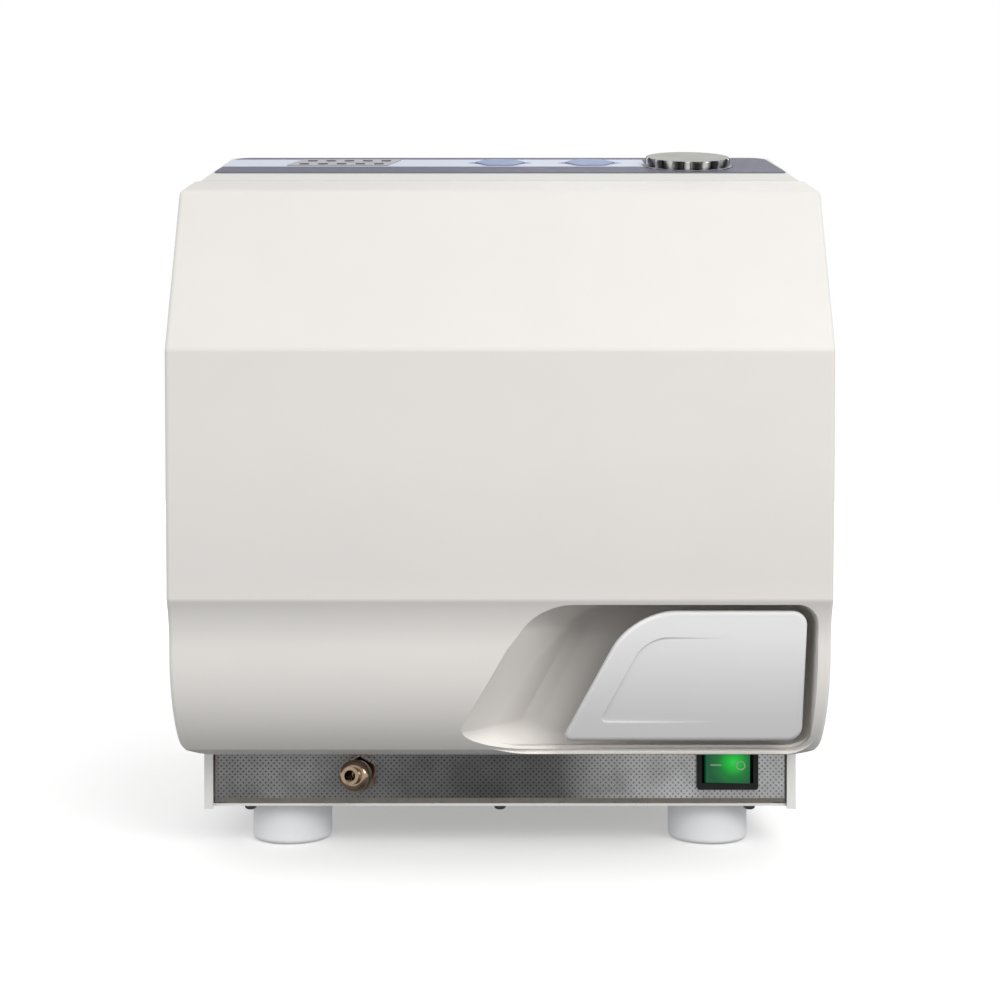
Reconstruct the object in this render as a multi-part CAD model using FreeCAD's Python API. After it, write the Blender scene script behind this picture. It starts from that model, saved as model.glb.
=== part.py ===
"""Benchtop autoclave of the 8 litre class, in millimetres.

Everything is built with y measured back from the front face of the door, and the
export moves the origin to the middle of the footprint, on the surface the feet stand on.
+X is to the right of someone facing the door, +Y points to the rear and +Z up.
"""
import FreeCAD, Part
import math
import os
from FreeCAD import Vector

# Overall sizes
WIDTH = 306.0
DEPTH = 440.0
FOOT_HEIGHT = 22.1
BODY_WIDTH = 296.0
SHEET = 1.2
BODY_FRONT = 65.5
BODY_BACK = 431.0
COVER_TOP = 352.0

# Door
DOOR_DEPTH = 62.0
DOOR_WALL = 2.6
DOOR_BOTTOM = 51.0
CHIN_REST = 50.0
LEDGE_Z = 129.7
LEDGE_Y = 3.2
CREASE_Z = 244.0
BROW_Y = 31.0
BROW_Z = 323.0
CHIN_Y = 8.9
CHIN_Z = 107.0
CHIN_RADIUS = 64.0
CHIN_TURN = 53.0
DOOR_TOP_CORNER = 5.0
DOOR_BOTTOM_CORNER = 13.0
DOOR_EDGE = 2.4

# Control panel, inclined
PANEL_SLOPE = 20.2
PANEL_Y = 62.0
PANEL_Z = 334.4
HOUSING_WIDTH = 300.8
HOUSING_FRONT = 64.5
HOUSING_BACK = 195.0
HOUSING_BOTTOM = 306.0
HOUSING_TOP = 366.1
HOUSING_WALL = 2.5
OVERLAY_START = 28.8
OVERLAY_END = 90.0
OVERLAY_HALF = 148.0
OVERLAY_THICK = 0.6
BUTTON_ROW = 67.0
BUTTON_XS = (0.0, 48.5)
BUTTON_HALF_X = 13.3
BUTTON_HALF_V = 12.0
BUTTON_GAP = 0.3

# Filler
FILLER_X = 100.1
FILLER_ROW = 56.2
NECK_BORE = 18.05
NECK_RADIUS = 21.0
CAP_RADIUS = 22.2
CAP_LOW = 1.0
CAP_HIGH = 5.2

# Chamber
CHAMBER_Z = 187.0
CHAMBER_BORE = 85.0
CHAMBER_WALL = 2.0
FLANGE_RADIUS = 100.0
FLANGE_FRONT = 58.5
FLANGE_BACK = 66.5
CHAMBER_BACK = 385.0

# Handle
PIVOT_X = 108.0
PIVOT_Y = 24.0
PIN_RADIUS = 2.0
RUNNING = 0.05
PLATE_TOP_Y = 8.0
PLATE_LOW_Y = 22.0
PLATE_THICK = 4.0
RECESS_FLOOR = 45.0
RECESS_WALL = 2.4
RECESS_START = 2.0
RECESS_TOP = 127.7
RECESS_LEAN = 0.33
PLATE_LOW_Z = 62.2
PLATE_TOP_Z = 124.5
PLATE_LEFT_LOW = 28.8
PLATE_LEFT_TOP = 61.3
PLATE_RIGHT = 142.1
PLATE_LEAN = (PLATE_LOW_Y - PLATE_TOP_Y) / (PLATE_TOP_Z - PLATE_LOW_Z)
LUG_ROWS = (94.0, 114.0)
LUG_RADIUS = 4.5
LUG_THICK = 4.0
CRANK_LOW = 101.0
CRANK_HIGH = 109.0
TONGUE_ROWS = (150.0, 220.0)

# Hinge
HINGE_X = -150.6
HINGE_Y = 68.5
KNUCKLE_RADIUS = 2.0
HINGE_PIN_RADIUS = 1.0
HINGE_SPANS = ((92.0, 152.0), (228.0, 288.0))
KNUCKLES = 5

# Base
PANEL_FRONT = 68.5
PANEL_THICK = 1.0
PANEL_HALF = 143.3
PANEL_LOW = 23.8
PANEL_HIGH = 62.0
SWITCH_X = 114.0
SWITCH_Z = 42.9
FITTING_X = -70.1
FITTING_Z = 38.4
FITTING_LEFT = 10.0
FITTING_UP = 10.0
FITTING_BORE = 2.8
FOOT_XS = (-108.3, 108.3)
FOOT_YS = (98.4, 380.0)
FOOT_RADIUS = 20.4
BASE_SCREW_XS = (-125.9, 0.0, 125.9)
BASE_SCREW_Y = 73.0
SCREW_HOLE = 1.5

# Rear panel, its fittings given as (x, z)
REAR_INNER = 429.6
REAR_FACE = 430.8
REAR_HALF = 146.6
FAN = (-72.0, 262.0)
FAN_BORE = 28.0
INLET = (100.0, 62.0)
FUSES = ((62.0, 62.0), (38.0, 62.0))
VALVE = (70.0, 300.0)
REAR_SCREW_XS = (-136.0, 136.0)
REAR_SCREW_ZS = (36.0, 180.0, 340.0)
STANDOFF_XS = (-110.0, 110.0)
STANDOFF_ZS = (36.0, 325.0)


def box(x0, x1, y0, y1, z0, z1):
    return Part.makeBox(x1 - x0, y1 - y0, z1 - z0, Vector(x0, y0, z0))


def rod(start, direction, radius, length):
    return Part.makeCylinder(radius, length, Vector(*start), Vector(*direction))


def ring(start, direction, outer, inner, length):
    return rod(start, direction, outer, length).cut(rod(start, direction, inner, length))


def joined(shapes):
    solid = shapes[0].fuse(list(shapes[1:])) if len(shapes) > 1 else shapes[0]
    return solid.removeSplitter()


def in_xz(a, b):
    return Vector(a, 0, b)


def in_yz(a, b):
    return Vector(0, a, b)


def in_xy(a, b):
    return Vector(a, b, 0)


def outline(corners, plane):
    """Closed wire through (a, b, radius) corners, each rounded with its radius."""
    count = len(corners)
    stops = []
    for i, (a, b, radius) in enumerate(corners):
        here = plane(a, b)
        if radius <= 0:
            stops.append((here, here, here))
            continue
        before = plane(*corners[i - 1][:2]) - here
        after = plane(*corners[(i + 1) % count][:2]) - here
        before.normalize()
        after.normalize()
        half = math.acos(max(-1.0, min(1.0, before.dot(after)))) / 2
        reach = radius / math.tan(half)
        middle = before + after
        middle.normalize()
        top = here + middle * (radius / math.sin(half) - radius)
        stops.append((here + before * reach, top, here + after * reach))
    edges = []
    for i, (start, top, end) in enumerate(stops):
        if (end - start).Length > 1e-6:
            edges.append(Part.Arc(start, top, end).toShape())
        following = stops[(i + 1) % count][0]
        if (following - end).Length > 1e-6:
            edges.append(Part.LineSegment(end, following).toShape())
    return Part.Wire(edges)


def prism(corners, plane, low, high):
    """Solid with a rounded outline in a plane, from low to high along the plane's normal."""
    normal = {in_xz: Vector(0, 1, 0), in_yz: Vector(1, 0, 0), in_xy: Vector(0, 0, 1)}[plane]
    face = Part.Face(outline(corners, plane))
    face.translate(normal * low)
    return face.extrude(normal * (high - low))


def rectangle(a0, a1, b0, b1, radius=0.0):
    return [(a0, b0, radius), (a1, b0, radius), (a1, b1, radius), (a0, b1, radius)]


def pipe(points, radius, bore, bend):
    """Hollow tube along a route of straight runs joined by tangent arcs."""
    stops = [Vector(*p) for p in points]
    edges = []
    last = stops[0]
    for before, here, after in zip(stops, stops[1:], stops[2:]):
        back = (before - here).normalize()
        ahead = (after - here).normalize()
        half = math.acos(max(-1.0, min(1.0, back.dot(ahead)))) / 2
        reach = bend / math.tan(half)
        middle = (back + ahead).normalize()
        start = here + back * reach
        end = here + ahead * reach
        edges.append(Part.LineSegment(last, start).toShape())
        edges.append(Part.Arc(start, here + middle * (bend / math.sin(half) - bend), end).toShape())
        last = end
    edges.append(Part.LineSegment(last, stops[-1]).toShape())
    path = Part.Wire(edges)
    heading = (stops[1] - stops[0]).normalize()
    solids = []
    for size in (radius, bore):
        circle = Part.Wire(Part.makeCircle(size, stops[0], heading))
        solids.append(path.makePipeShell([circle], True, True))
    return solids[0].cut(solids[1])


def hexagon(start, direction, across, length):
    """Hexagonal prism across flats, with its corners turned down a little."""
    radius = across / math.sqrt(3)
    corners = [Vector(radius * math.cos(math.radians(60 * i + 30)),
                      radius * math.sin(math.radians(60 * i + 30)), 0) for i in range(6)]
    face = Part.Face(Part.makePolygon(corners + corners[:1]))
    solid = face.extrude(Vector(0, 0, length))
    trim = Part.makeCone(radius * 0.93, radius * 0.93 + length, length)
    return placed(solid.common(trim), start, direction)


def placed(shape, start, direction):
    """Turn a shape built along +Z to a direction, and stand it at start."""
    turn = FreeCAD.Rotation(Vector(0, 0, 1), Vector(*direction))
    shape.Placement = FreeCAD.Placement(Vector(*start), turn)
    return shape


def pan_head(start, direction, head_radius, head, shank_radius, shank):
    """Screw with a domed head outside the start point and its shank behind it."""
    dome = Part.makeCylinder(head_radius, head)
    dome = dome.makeFillet(head * 0.6, [dome.Edges[0]])
    cross = box(-head_radius * 0.55, head_radius * 0.55, -0.3, 0.3, head * 0.5, head + 1)
    cross = cross.fuse(box(-0.3, 0.3, -head_radius * 0.55, head_radius * 0.55, head * 0.5, head + 1))
    screw = dome.cut(cross).fuse(rod((0, 0, -shank), (0, 0, 1), shank_radius, shank))
    return placed(screw, start, direction)


# Inclined control panel: local axes are x, v up the slope and w out of the panel

def panel_point(x, v, w):
    slope = math.radians(PANEL_SLOPE)
    y = PANEL_Y + v * math.cos(slope) - w * math.sin(slope)
    z = PANEL_Z + v * math.sin(slope) + w * math.cos(slope)
    return Vector(x, y, z)


def on_panel(shape):
    """Carry a shape built in x, v, w onto the inclined panel."""
    turn = FreeCAD.Rotation(Vector(1, 0, 0), PANEL_SLOPE)
    moved = shape.copy()
    moved.Placement = FreeCAD.Placement(panel_point(0, 0, 0), turn).multiply(moved.Placement)
    return moved


def panel_disc(x, v, radius, low, high):
    return on_panel(rod((x, v, low), (0, 0, 1), radius, high - low))


# Door

def cover_profile(rear):
    """Side outline of the door: brow, slope, upright face, cove, chin and underside."""
    slope = math.tan(math.radians(PANEL_SLOPE))
    top_z = BROW_Z + (rear - BROW_Y) * slope
    turn = math.radians(CHIN_TURN)
    centre_y = CHIN_Y + CHIN_RADIUS
    chin = [in_yz(centre_y - CHIN_RADIUS * math.cos(turn * t), CHIN_Z - CHIN_RADIUS * math.sin(turn * t))
            for t in (0.0, 0.5, 1.0)]
    cove_mid = in_yz(CHIN_Y - 1.36, CHIN_Z + 11.35)
    ledge = in_yz(LEDGE_Y, LEDGE_Z)
    heel = in_yz(CHIN_REST, DOOR_BOTTOM)
    points = [heel, in_yz(rear, DOOR_BOTTOM), in_yz(rear, top_z), in_yz(BROW_Y, BROW_Z),
              in_yz(0, CREASE_Z), ledge]
    edges = [Part.LineSegment(p, q).toShape() for p, q in zip(points, points[1:])]
    edges.append(Part.Arc(ledge, cove_mid, chin[0]).toShape())
    edges.append(Part.Arc(*chin).toShape())
    edges.append(Part.LineSegment(chin[2], heel).toShape())
    return Part.Face(Part.Wire(edges))


def door_block(rear, inset):
    """The door's outer form, or the form of its hollow with an inset."""
    profile = cover_profile(rear)
    if inset:
        profile = profile.makeOffset2D(-inset)
    half = WIDTH / 2 - inset
    profile.translate(Vector(-half, 0, 0))
    block = profile.extrude(Vector(2 * half, 0, 0))
    top = PANEL_Z - inset
    low = DOOR_BOTTOM + inset
    corners = [(-half, low, DOOR_BOTTOM_CORNER - inset), (half, low, DOOR_BOTTOM_CORNER - inset),
               (half, top, DOOR_TOP_CORNER - inset), (-half, top, DOOR_TOP_CORNER - inset)]
    return block.common(prism(corners, in_xz, -1, rear + 1))


def softened(block):
    """Round the long side edges of the door's front."""
    half = WIDTH / 2
    edges = []
    for edge in block.Edges:
        bounds = edge.BoundBox
        on_side = min(abs(bounds.XMin), abs(bounds.XMax)) > half - 0.01
        if on_side and bounds.YMin < DOOR_DEPTH - 1 and bounds.ZMin > CHIN_Z + 10:
            if bounds.ZLength > 20 and bounds.YMax < BROW_Y + 1:
                edges.append(edge)
    return block.makeFillet(DOOR_EDGE, edges)


def recess_form(grow):
    """Scoop behind the handle: wide at the front, its left wall slanting in to the floor."""
    front = [(-26 - grow, 55.3 - grow, 11), (146.7 + grow, 55.3 - grow, 10),
             (146.7 + grow, RECESS_TOP + grow, 5), (15.2 - grow, RECESS_TOP + grow, 14)]
    floor = [(8.7 - grow, 58.5 - grow, 11), (146.7 + grow, 58.5 - grow, 10),
             (146.7 + grow, 126.2 + grow, 5), (44.7 - grow, 126.2 + grow, 14)]
    near = outline(front, in_xz)
    far = outline(floor, in_xz)
    lean = FreeCAD.Matrix()
    lean.A23 = -RECESS_LEAN
    lean.A24 = RECESS_START - grow + RECESS_LEAN * RECESS_TOP
    near = near.transformGeometry(lean)
    far.translate(Vector(0, RECESS_FLOOR + grow, 0))
    scoop = Part.makeLoft([near, far], True, True)
    reach = Part.Face(near).extrude(Vector(0, -40, 0))
    return scoop.fuse(reach)


def handle_lugs():
    lugs = []
    for low in LUG_ROWS:
        high = low + LUG_THICK
        lugs.append(rod((PIVOT_X, PIVOT_Y, low), (0, 0, 1), LUG_RADIUS, LUG_THICK))
        lugs.append(box(PIVOT_X - LUG_RADIUS, PIVOT_X + LUG_RADIUS, PIVOT_Y, RECESS_FLOOR + 1,
                        low, high))
    return joined(lugs)


def lug_bore(radius):
    """Round hole through both lugs, for the handle's pin."""
    low = LUG_ROWS[0] - 1
    return rod((PIVOT_X, PIVOT_Y, low), (0, 0, 1), radius, LUG_ROWS[1] + LUG_THICK + 1 - low)


def cover_posts():
    return [rod((x, 3, z), (0, 1, 0), 5, 44.6)
            for x, z in ((-132, 290), (132, 290), (-132, 84), (132, 145))]


def door_cover():
    outer = softened(door_block(DOOR_DEPTH, 0))
    hollow = door_block(DOOR_DEPTH + 10, DOOR_WALL)
    shell = outer.cut(hollow)
    lining = recess_form(RECESS_WALL).common(outer)
    posts = Part.makeCompound(cover_posts()).common(outer)
    shell = shell.fuse([lining, posts])
    shell = shell.cut(recess_form(0))
    lugs = handle_lugs()
    shell = shell.fuse(lugs)
    shell = shell.cut(lug_bore(PIN_RADIUS))
    slot = box(PIVOT_X - 18.5, PIVOT_X + 4, RECESS_FLOOR - 0.5, RECESS_FLOOR + 4,
               CRANK_LOW - 2.5, CRANK_HIGH + 2.5)
    return shell.cut(slot).removeSplitter()


def door_frame():
    plate = prism(rectangle(-140, 140, 62, 318, 8), in_xz, 47.8, 49.2)
    plate = plate.cut(box(PIVOT_X - 20, PIVOT_X + 4, 40, 52, CRANK_LOW - 4, CRANK_HIGH + 4))
    plate = plate.cut(rod((0, 40, CHAMBER_Z), (0, 1, 0), 8.0, 12))
    for x in (-90, 90):
        plate = plate.cut(rod((x, 40, 285), (0, 1, 0), 14, 12))
    return plate


def plate_hub():
    hub = ring((0, 49.2, CHAMBER_Z), (0, 1, 0), 24, 8, 1.8)
    stud = rod((0, 38.0, CHAMBER_Z), (0, 1, 0), 8, 13.0)
    nut = hexagon((0, 47.8, CHAMBER_Z), (0, -1, 0), 24, 6)
    return joined([hub, stud, nut.cut(stud)])


def pressure_plate():
    disc = rod((0, 51, CHAMBER_Z), (0, 1, 0), 97, 4)
    groove = ring((0, 53.5, CHAMBER_Z), (0, 1, 0), 95, 85, 2)
    dish = Part.makeCone(74, 70, 1.5, Vector(0, 55, CHAMBER_Z), Vector(0, -1, 0))
    return disc.cut(groove).cut(dish)


def door_gasket():
    body = ring((0, 53.5, CHAMBER_Z), (0, 1, 0), 95, 85, 3.3)
    lip = ring((0, 56.8, CHAMBER_Z), (0, 1, 0), 93, 87, 1.3)
    return joined([body, lip])


def liner_screw_places():
    return ((-138, 66), (0, 66), (138, 66), (-138, 318), (0, 318), (138, 318))


def door_liner():
    liner = prism(rectangle(-147.6, 149.6, 54.6, 329.6, 9), in_xz, 59.0, 61.5)
    liner = liner.cut(rod((0, 50, CHAMBER_Z), (0, 1, 0), 104, 20))
    for low in TONGUE_ROWS:
        liner = liner.cut(box(124, 146, 50, 70, low - 8, low + 18))
    for x, z in liner_screw_places():
        liner = liner.cut(rod((x, 50, z), (0, 1, 0), 1.5, 20))
    return liner


def liner_screws():
    return Part.makeCompound([pan_head((x, 61.5, z), (0, 1, 0), 3.2, 1.4, 1.5, 8)
                              for x, z in liner_screw_places()])


def knuckle_rows(first):
    """Z spans of every second knuckle, starting with the first or the second."""
    rows = []
    for low, high in HINGE_SPANS:
        step = (high - low) / KNUCKLES
        for i in range(first, KNUCKLES, 2):
            rows.append((low + i * step + 0.15, low + (i + 1) * step - 0.15))
    return rows


def knuckle(low, high):
    start = (HINGE_X, HINGE_Y, low)
    return ring(start, (0, 0, 1), KNUCKLE_RADIUS, HINGE_PIN_RADIUS + RUNNING, high - low)


def door_hinge_leaves():
    leaves = []
    for low, high in HINGE_SPANS:
        leaves.append([box(-150.3, -148.9, 50.0, 61.8, low, high)])
    for low, high in knuckle_rows(1):
        arm = box(-150.3, -148.9, 61.0, HINGE_Y, low, high)
        arm = arm.cut(rod((HINGE_X, HINGE_Y, low), (0, 0, 1), HINGE_PIN_RADIUS + RUNNING, high - low))
        leaf = leaves[0] if high < HINGE_SPANS[1][0] else leaves[1]
        leaf.extend([arm, knuckle(low, high)])
    return Part.makeCompound([joined(leaf) for leaf in leaves])


def body_hinge_leaves():
    side = -BODY_WIDTH / 2
    leaves = []
    for low, high in HINGE_SPANS:
        leaves.append([box(side - 1.4, side, 71.2, 92.0, low, high)])
    for low, high in knuckle_rows(0):
        arm = box(side - 1.4, side - 0.6, HINGE_Y, 72.0, low, high)
        arm = arm.cut(rod((HINGE_X, HINGE_Y, low), (0, 0, 1), HINGE_PIN_RADIUS + RUNNING, high - low))
        leaf = leaves[0] if high < HINGE_SPANS[1][0] else leaves[1]
        leaf.extend([arm, knuckle(low, high)])
    heads = [rod((side - 1.4, 84, low + z), (-1, 0, 0), 2.6, 0.8)
             for low, _ in HINGE_SPANS for z in (10, 30, 50)]
    solids = [joined(leaf + heads[3 * i:3 * i + 3]) for i, leaf in enumerate(leaves)]
    return Part.makeCompound(solids)


def hinge_pins():
    pins = []
    for low, high in HINGE_SPANS:
        pin = rod((HINGE_X, HINGE_Y, low - 1), (0, 0, 1), HINGE_PIN_RADIUS, high - low + 1)
        head = rod((HINGE_X, HINGE_Y, high), (0, 0, 1), 1.8, 1.0)
        pins.append(pin.fuse(head))
    return Part.makeCompound(pins)


# Handle and lock

def plate_corners():
    return [(PLATE_LEFT_LOW, PLATE_LOW_Z, 5), (PLATE_RIGHT, PLATE_LOW_Z, 7),
            (PLATE_RIGHT, PLATE_TOP_Z, 7), (PLATE_LEFT_TOP, PLATE_TOP_Z, 20)]


def plate_slab(front, back):
    """Leaning slab behind the plate's face, between two depths measured from that face."""
    low_z, high_z = 40.0, 150.0
    top_y = PLATE_TOP_Y - (high_z - PLATE_TOP_Z) * PLATE_LEAN
    low_y = PLATE_LOW_Y + (PLATE_LOW_Z - low_z) * PLATE_LEAN
    corners = [(low_y + front, low_z, 0), (low_y + back, low_z, 0),
               (top_y + back, high_z, 0), (top_y + front, high_z, 0)]
    return prism(corners, in_yz, 0, 160)


def handle_plate():
    plate = prism(plate_corners(), in_xz, -10, 60).common(plate_slab(0, PLATE_THICK))
    front_edges = [edge for edge in plate.Edges if on_plate_face(edge)]
    return plate.makeFillet(1.4, front_edges)


def on_plate_face(edge):
    for vertex in edge.Vertexes:
        face_y = PLATE_TOP_Y + (PLATE_TOP_Z - vertex.Z) * PLATE_LEAN
        if abs(vertex.Y - face_y) > 0.01:
            return False
    return True


def handle_lever():
    low = LUG_ROWS[0] + LUG_THICK + 0.4
    high = LUG_ROWS[1] - 0.4
    block = box(PIVOT_X - 9, PIVOT_X + 9, 5, PIVOT_Y + 7, low, high)
    block = block.cut(plate_slab(-60, PLATE_THICK))
    crank = box(PIVOT_X - 2.5, PIVOT_X + 2.5, PIVOT_Y + 6, 52.0, CRANK_LOW, CRANK_HIGH)
    rib = prism([(56, low, 3), (PIVOT_X - 4, low, 0), (PIVOT_X - 4, high, 0), (64, high, 3)],
                in_xz, 0, 40).common(plate_slab(PLATE_THICK, PLATE_THICK + 3))
    lever = joined([block, crank, rib])
    return lever.cut(lug_bore(PIN_RADIUS + RUNNING))


def handle_pin():
    top = LUG_ROWS[1] + LUG_THICK
    pin = rod((PIVOT_X, PIVOT_Y, LUG_ROWS[0]), (0, 0, 1), PIN_RADIUS, top - LUG_ROWS[0])
    head = rod((PIVOT_X, PIVOT_Y, top), (0, 0, 1), 3.4, 1.2)
    return pin.fuse(head)


def lock_bar():
    low, high = CRANK_LOW - 6, CRANK_HIGH + 8
    lower = box(PIVOT_X - 11, 127, 49.4, 51.6, low, high)
    window = box(PIVOT_X - 5, PIVOT_X + 5, 45, 55, CRANK_LOW - 1.5, CRANK_HIGH + 1.5)
    lower = lower.cut(window)
    upright = box(120, 127, 49.4, 51.6, low, 234)
    tongues = [box(120, 139, 51.6, 56.0, z, z + 10) for z in TONGUE_ROWS]
    return joined([lower, upright] + tongues)


def keepers():
    """Two channels on the front frame, open to the front, that hold the lock bar's tongues."""
    brackets = []
    for low in TONGUE_ROWS:
        base = box(127, 143, 63.0, 64.5, low - 5, low + 15)
        ears = [box(130, 143, 51.0, 63.0, z, z + 3.5) for z in (low - 4.0, low + 10.5)]
        brackets.append(joined([base] + ears))
    return Part.makeCompound(brackets)


# Base and casing

def base_tray():
    floor = box(-146, 146, 67.9, 429.0, FOOT_HEIGHT, FOOT_HEIGHT + SHEET)
    sides = [box(x0, x1, 76, 429.0, FOOT_HEIGHT, 44) for x0, x1 in ((-146, -144.8), (144.8, 146))]
    tray = joined([floor] + sides)
    for x in FOOT_XS:
        for y in FOOT_YS:
            tray = tray.cut(rod((x, y, 20), (0, 0, 1), 2.5, 8))
    for x in BASE_SCREW_XS:
        tray = tray.cut(rod((x, BASE_SCREW_Y, 20), (0, 0, 1), SCREW_HOLE, 8))
    return tray


def base_front_panel():
    panel = box(-PANEL_HALF, PANEL_HALF, PANEL_FRONT, PANEL_FRONT + PANEL_THICK, PANEL_LOW, PANEL_HIGH)
    flange = box(-PANEL_HALF, PANEL_HALF, PANEL_FRONT, PANEL_FRONT + 8, PANEL_HIGH - 1, PANEL_HIGH)
    foot = box(-PANEL_HALF + 6, PANEL_HALF - 6, PANEL_FRONT, PANEL_FRONT + 8, FOOT_HEIGHT + SHEET,
               FOOT_HEIGHT + SHEET + PANEL_THICK)
    panel = joined([panel, flange, foot])
    panel = panel.cut(rod((FITTING_X, 60, FITTING_Z), (0, 1, 0), 6.0, 20))
    for x in BASE_SCREW_XS:
        panel = panel.cut(rod((x, BASE_SCREW_Y, 20), (0, 0, 1), SCREW_HOLE, 8))
    return panel.cut(box(SWITCH_X - 14, SWITCH_X + 14, 60, 80, SWITCH_Z - 10.5, SWITCH_Z + 10.5))


def side_louvres():
    slots = []
    for side in (-1, 1):
        for i in range(10):
            y = 290 + i * 11
            low = prism(rectangle(y, y + 4, 70, 130, 1.9), in_yz, side * 150 - 5, side * 150 + 5)
            slots.append(low)
    for i in range(12):
        x = -88 + i * 16
        slots.append(prism(rectangle(x - 2, x + 2, 360, 405, 1.9), in_xy, 345, 356))
    return slots


def body_cover():
    half = BODY_WIDTH / 2
    outer = prism([(-half, 21, 0), (half, 21, 0), (half, COVER_TOP, 7), (-half, COVER_TOP, 7)],
                  in_xz, BODY_FRONT, BODY_BACK)
    inner = prism([(-half + SHEET, 10, 0), (half - SHEET, 10, 0),
                   (half - SHEET, COVER_TOP - SHEET, 5.8), (-half + SHEET, COVER_TOP - SHEET, 5.8)],
                  in_xz, BODY_FRONT - 1, BODY_BACK + 1)
    cover = outer.cut(inner)
    cover = cover.cut(box(-160, 160, BODY_FRONT - 1, HOUSING_BACK + 0.5, HOUSING_BOTTOM, 360))
    returns = [box(x0, x1, BODY_FRONT, BODY_FRONT + SHEET, 21, HOUSING_BOTTOM)
               for x0, x1 in ((-half, -half + 4.4), (half - 4.4, half))]
    cover = joined([cover] + returns)
    return cover.cut(Part.makeCompound(side_louvres()))


def front_frame():
    frame = prism(rectangle(-147.5, 147.5, 63.5, 305.5, 3), in_xz, 64.5, 65.5)
    return frame.cut(rod((0, 50, CHAMBER_Z), (0, 1, 0), 101, 30))


def rear_panel():
    low, high = FOOT_HEIGHT + SHEET, COVER_TOP - SHEET - 0.2
    panel = prism([(-REAR_HALF, low, 0), (REAR_HALF, low, 0), (REAR_HALF, high, 6),
                   (-REAR_HALF, high, 6)], in_xz, REAR_INNER, REAR_FACE)
    panel = panel.cut(box(INLET[0] - 14, INLET[0] + 14, 420, 440, INLET[1] - 10.5, INLET[1] + 10.5))
    for x, z in FUSES:
        panel = panel.cut(rod((x, 420, z), (0, 1, 0), 6.1, 20))
    panel = panel.cut(rod((VALVE[0], 420, VALVE[1]), (0, 1, 0), 7.1, 20))
    for radius, count in ((24, 18), (16.5, 12), (9, 7)):
        for i in range(count):
            angle = 2 * math.pi * i / count
            x = FAN[0] + radius * math.cos(angle)
            z = FAN[1] + radius * math.sin(angle)
            panel = panel.cut(rod((x, 425, z), (0, 1, 0), 2.6, 10))
    for i in range(9):
        z = 120 + i * 10
        panel = panel.cut(prism(rectangle(30, 120, z, z + 3.6, 1.7), in_xz, 425, 435))
    for x, z in rear_screw_places():
        panel = panel.cut(rod((x, 425, z), (0, 1, 0), SCREW_HOLE, 10))
    return panel


def rear_screw_places():
    return [(x, z) for x in REAR_SCREW_XS for z in REAR_SCREW_ZS]


def rear_screws():
    return Part.makeCompound([pan_head((x, REAR_FACE, z), (0, 1, 0), 3.0, 1.8, SCREW_HOLE, 8)
                              for x, z in rear_screw_places()])


def rear_standoffs():
    posts = []
    for x in STANDOFF_XS:
        for z in STANDOFF_ZS:
            post = Part.makeCylinder(8, DEPTH - REAR_FACE)
            post = post.makeFillet(1.5, [post.Edges[0]])
            posts.append(placed(post, (x, REAR_FACE, z), (0, 1, 0)))
    return Part.makeCompound(posts)


def base_screws():
    return Part.makeCompound([pan_head((x, BASE_SCREW_Y, FOOT_HEIGHT), (0, 0, -1), 3.0, 2.6,
                                       SCREW_HOLE, 6) for x in BASE_SCREW_XS])


def feet():
    solids = []
    for x in FOOT_XS:
        for y in FOOT_YS:
            foot = Part.makeCylinder(FOOT_RADIUS, FOOT_HEIGHT)
            foot = foot.makeFillet(2.4, [edge for edge in foot.Edges if edge.BoundBox.ZMax < 0.01])
            foot = foot.cut(rod((0, 0, -1), (0, 0, 1), 6, 9))
            foot = foot.cut(rod((0, 0, 0), (0, 0, 1), 2.5, 40))
            foot.translate(Vector(x, y, 0))
            solids.append(foot)
    return Part.makeCompound(solids)


def foot_bolts():
    bolts = []
    for x in FOOT_XS:
        for y in FOOT_YS:
            head = rod((x, y, 4), (0, 0, 1), 5, 4)
            nut = rod((x, y, FOOT_HEIGHT + SHEET), (0, 0, 1), 5, 3.5)
            shank = rod((x, y, 6), (0, 0, 1), 2.5, 24)
            bolts.append(joined([head, nut, shank]))
    return Part.makeCompound(bolts)


def fitting_axis():
    left = math.radians(FITTING_LEFT)
    up = math.radians(FITTING_UP)
    return Vector(-math.sin(left) * math.cos(up), -math.cos(left) * math.cos(up), math.sin(up))


def drain_fitting():
    """Bulkhead with a hexagon outside, a round neck and a lock nut inside."""
    hex_part = hexagon((FITTING_X, PANEL_FRONT, FITTING_Z), (0, -1, 0), 16, 4.5)
    shank = rod((FITTING_X, PANEL_FRONT - 9, FITTING_Z), (0, 1, 0), 6.0, 28)
    nut = hexagon((FITTING_X, PANEL_FRONT + PANEL_THICK, FITTING_Z), (0, 1, 0), 16, 4)
    body = joined([hex_part, shank, nut])
    return body.cut(rod((FITTING_X, PANEL_FRONT - 12, FITTING_Z), (0, 1, 0), FITTING_BORE, 40))


def drain_tail():
    """Swivelling hose tail with a domed collar, leaning a little up and to the left."""
    dome = Part.makeCylinder(7.8, 7.0)
    dome = dome.makeFillet(3.2, [edge for edge in dome.Edges if edge.BoundBox.ZMin > 6.9])
    tail = dome.fuse(Part.makeCylinder(4.35, 12.5))
    tail = tail.cut(Part.makeCylinder(FITTING_BORE, 14.0))
    neck = placed(tail, (FITTING_X - 0.8, PANEL_FRONT - 11.0, FITTING_Z + 0.8), fitting_axis())
    return neck.cut(box(-90, -50, PANEL_FRONT - 9.0, 90, 20, 60))


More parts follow.
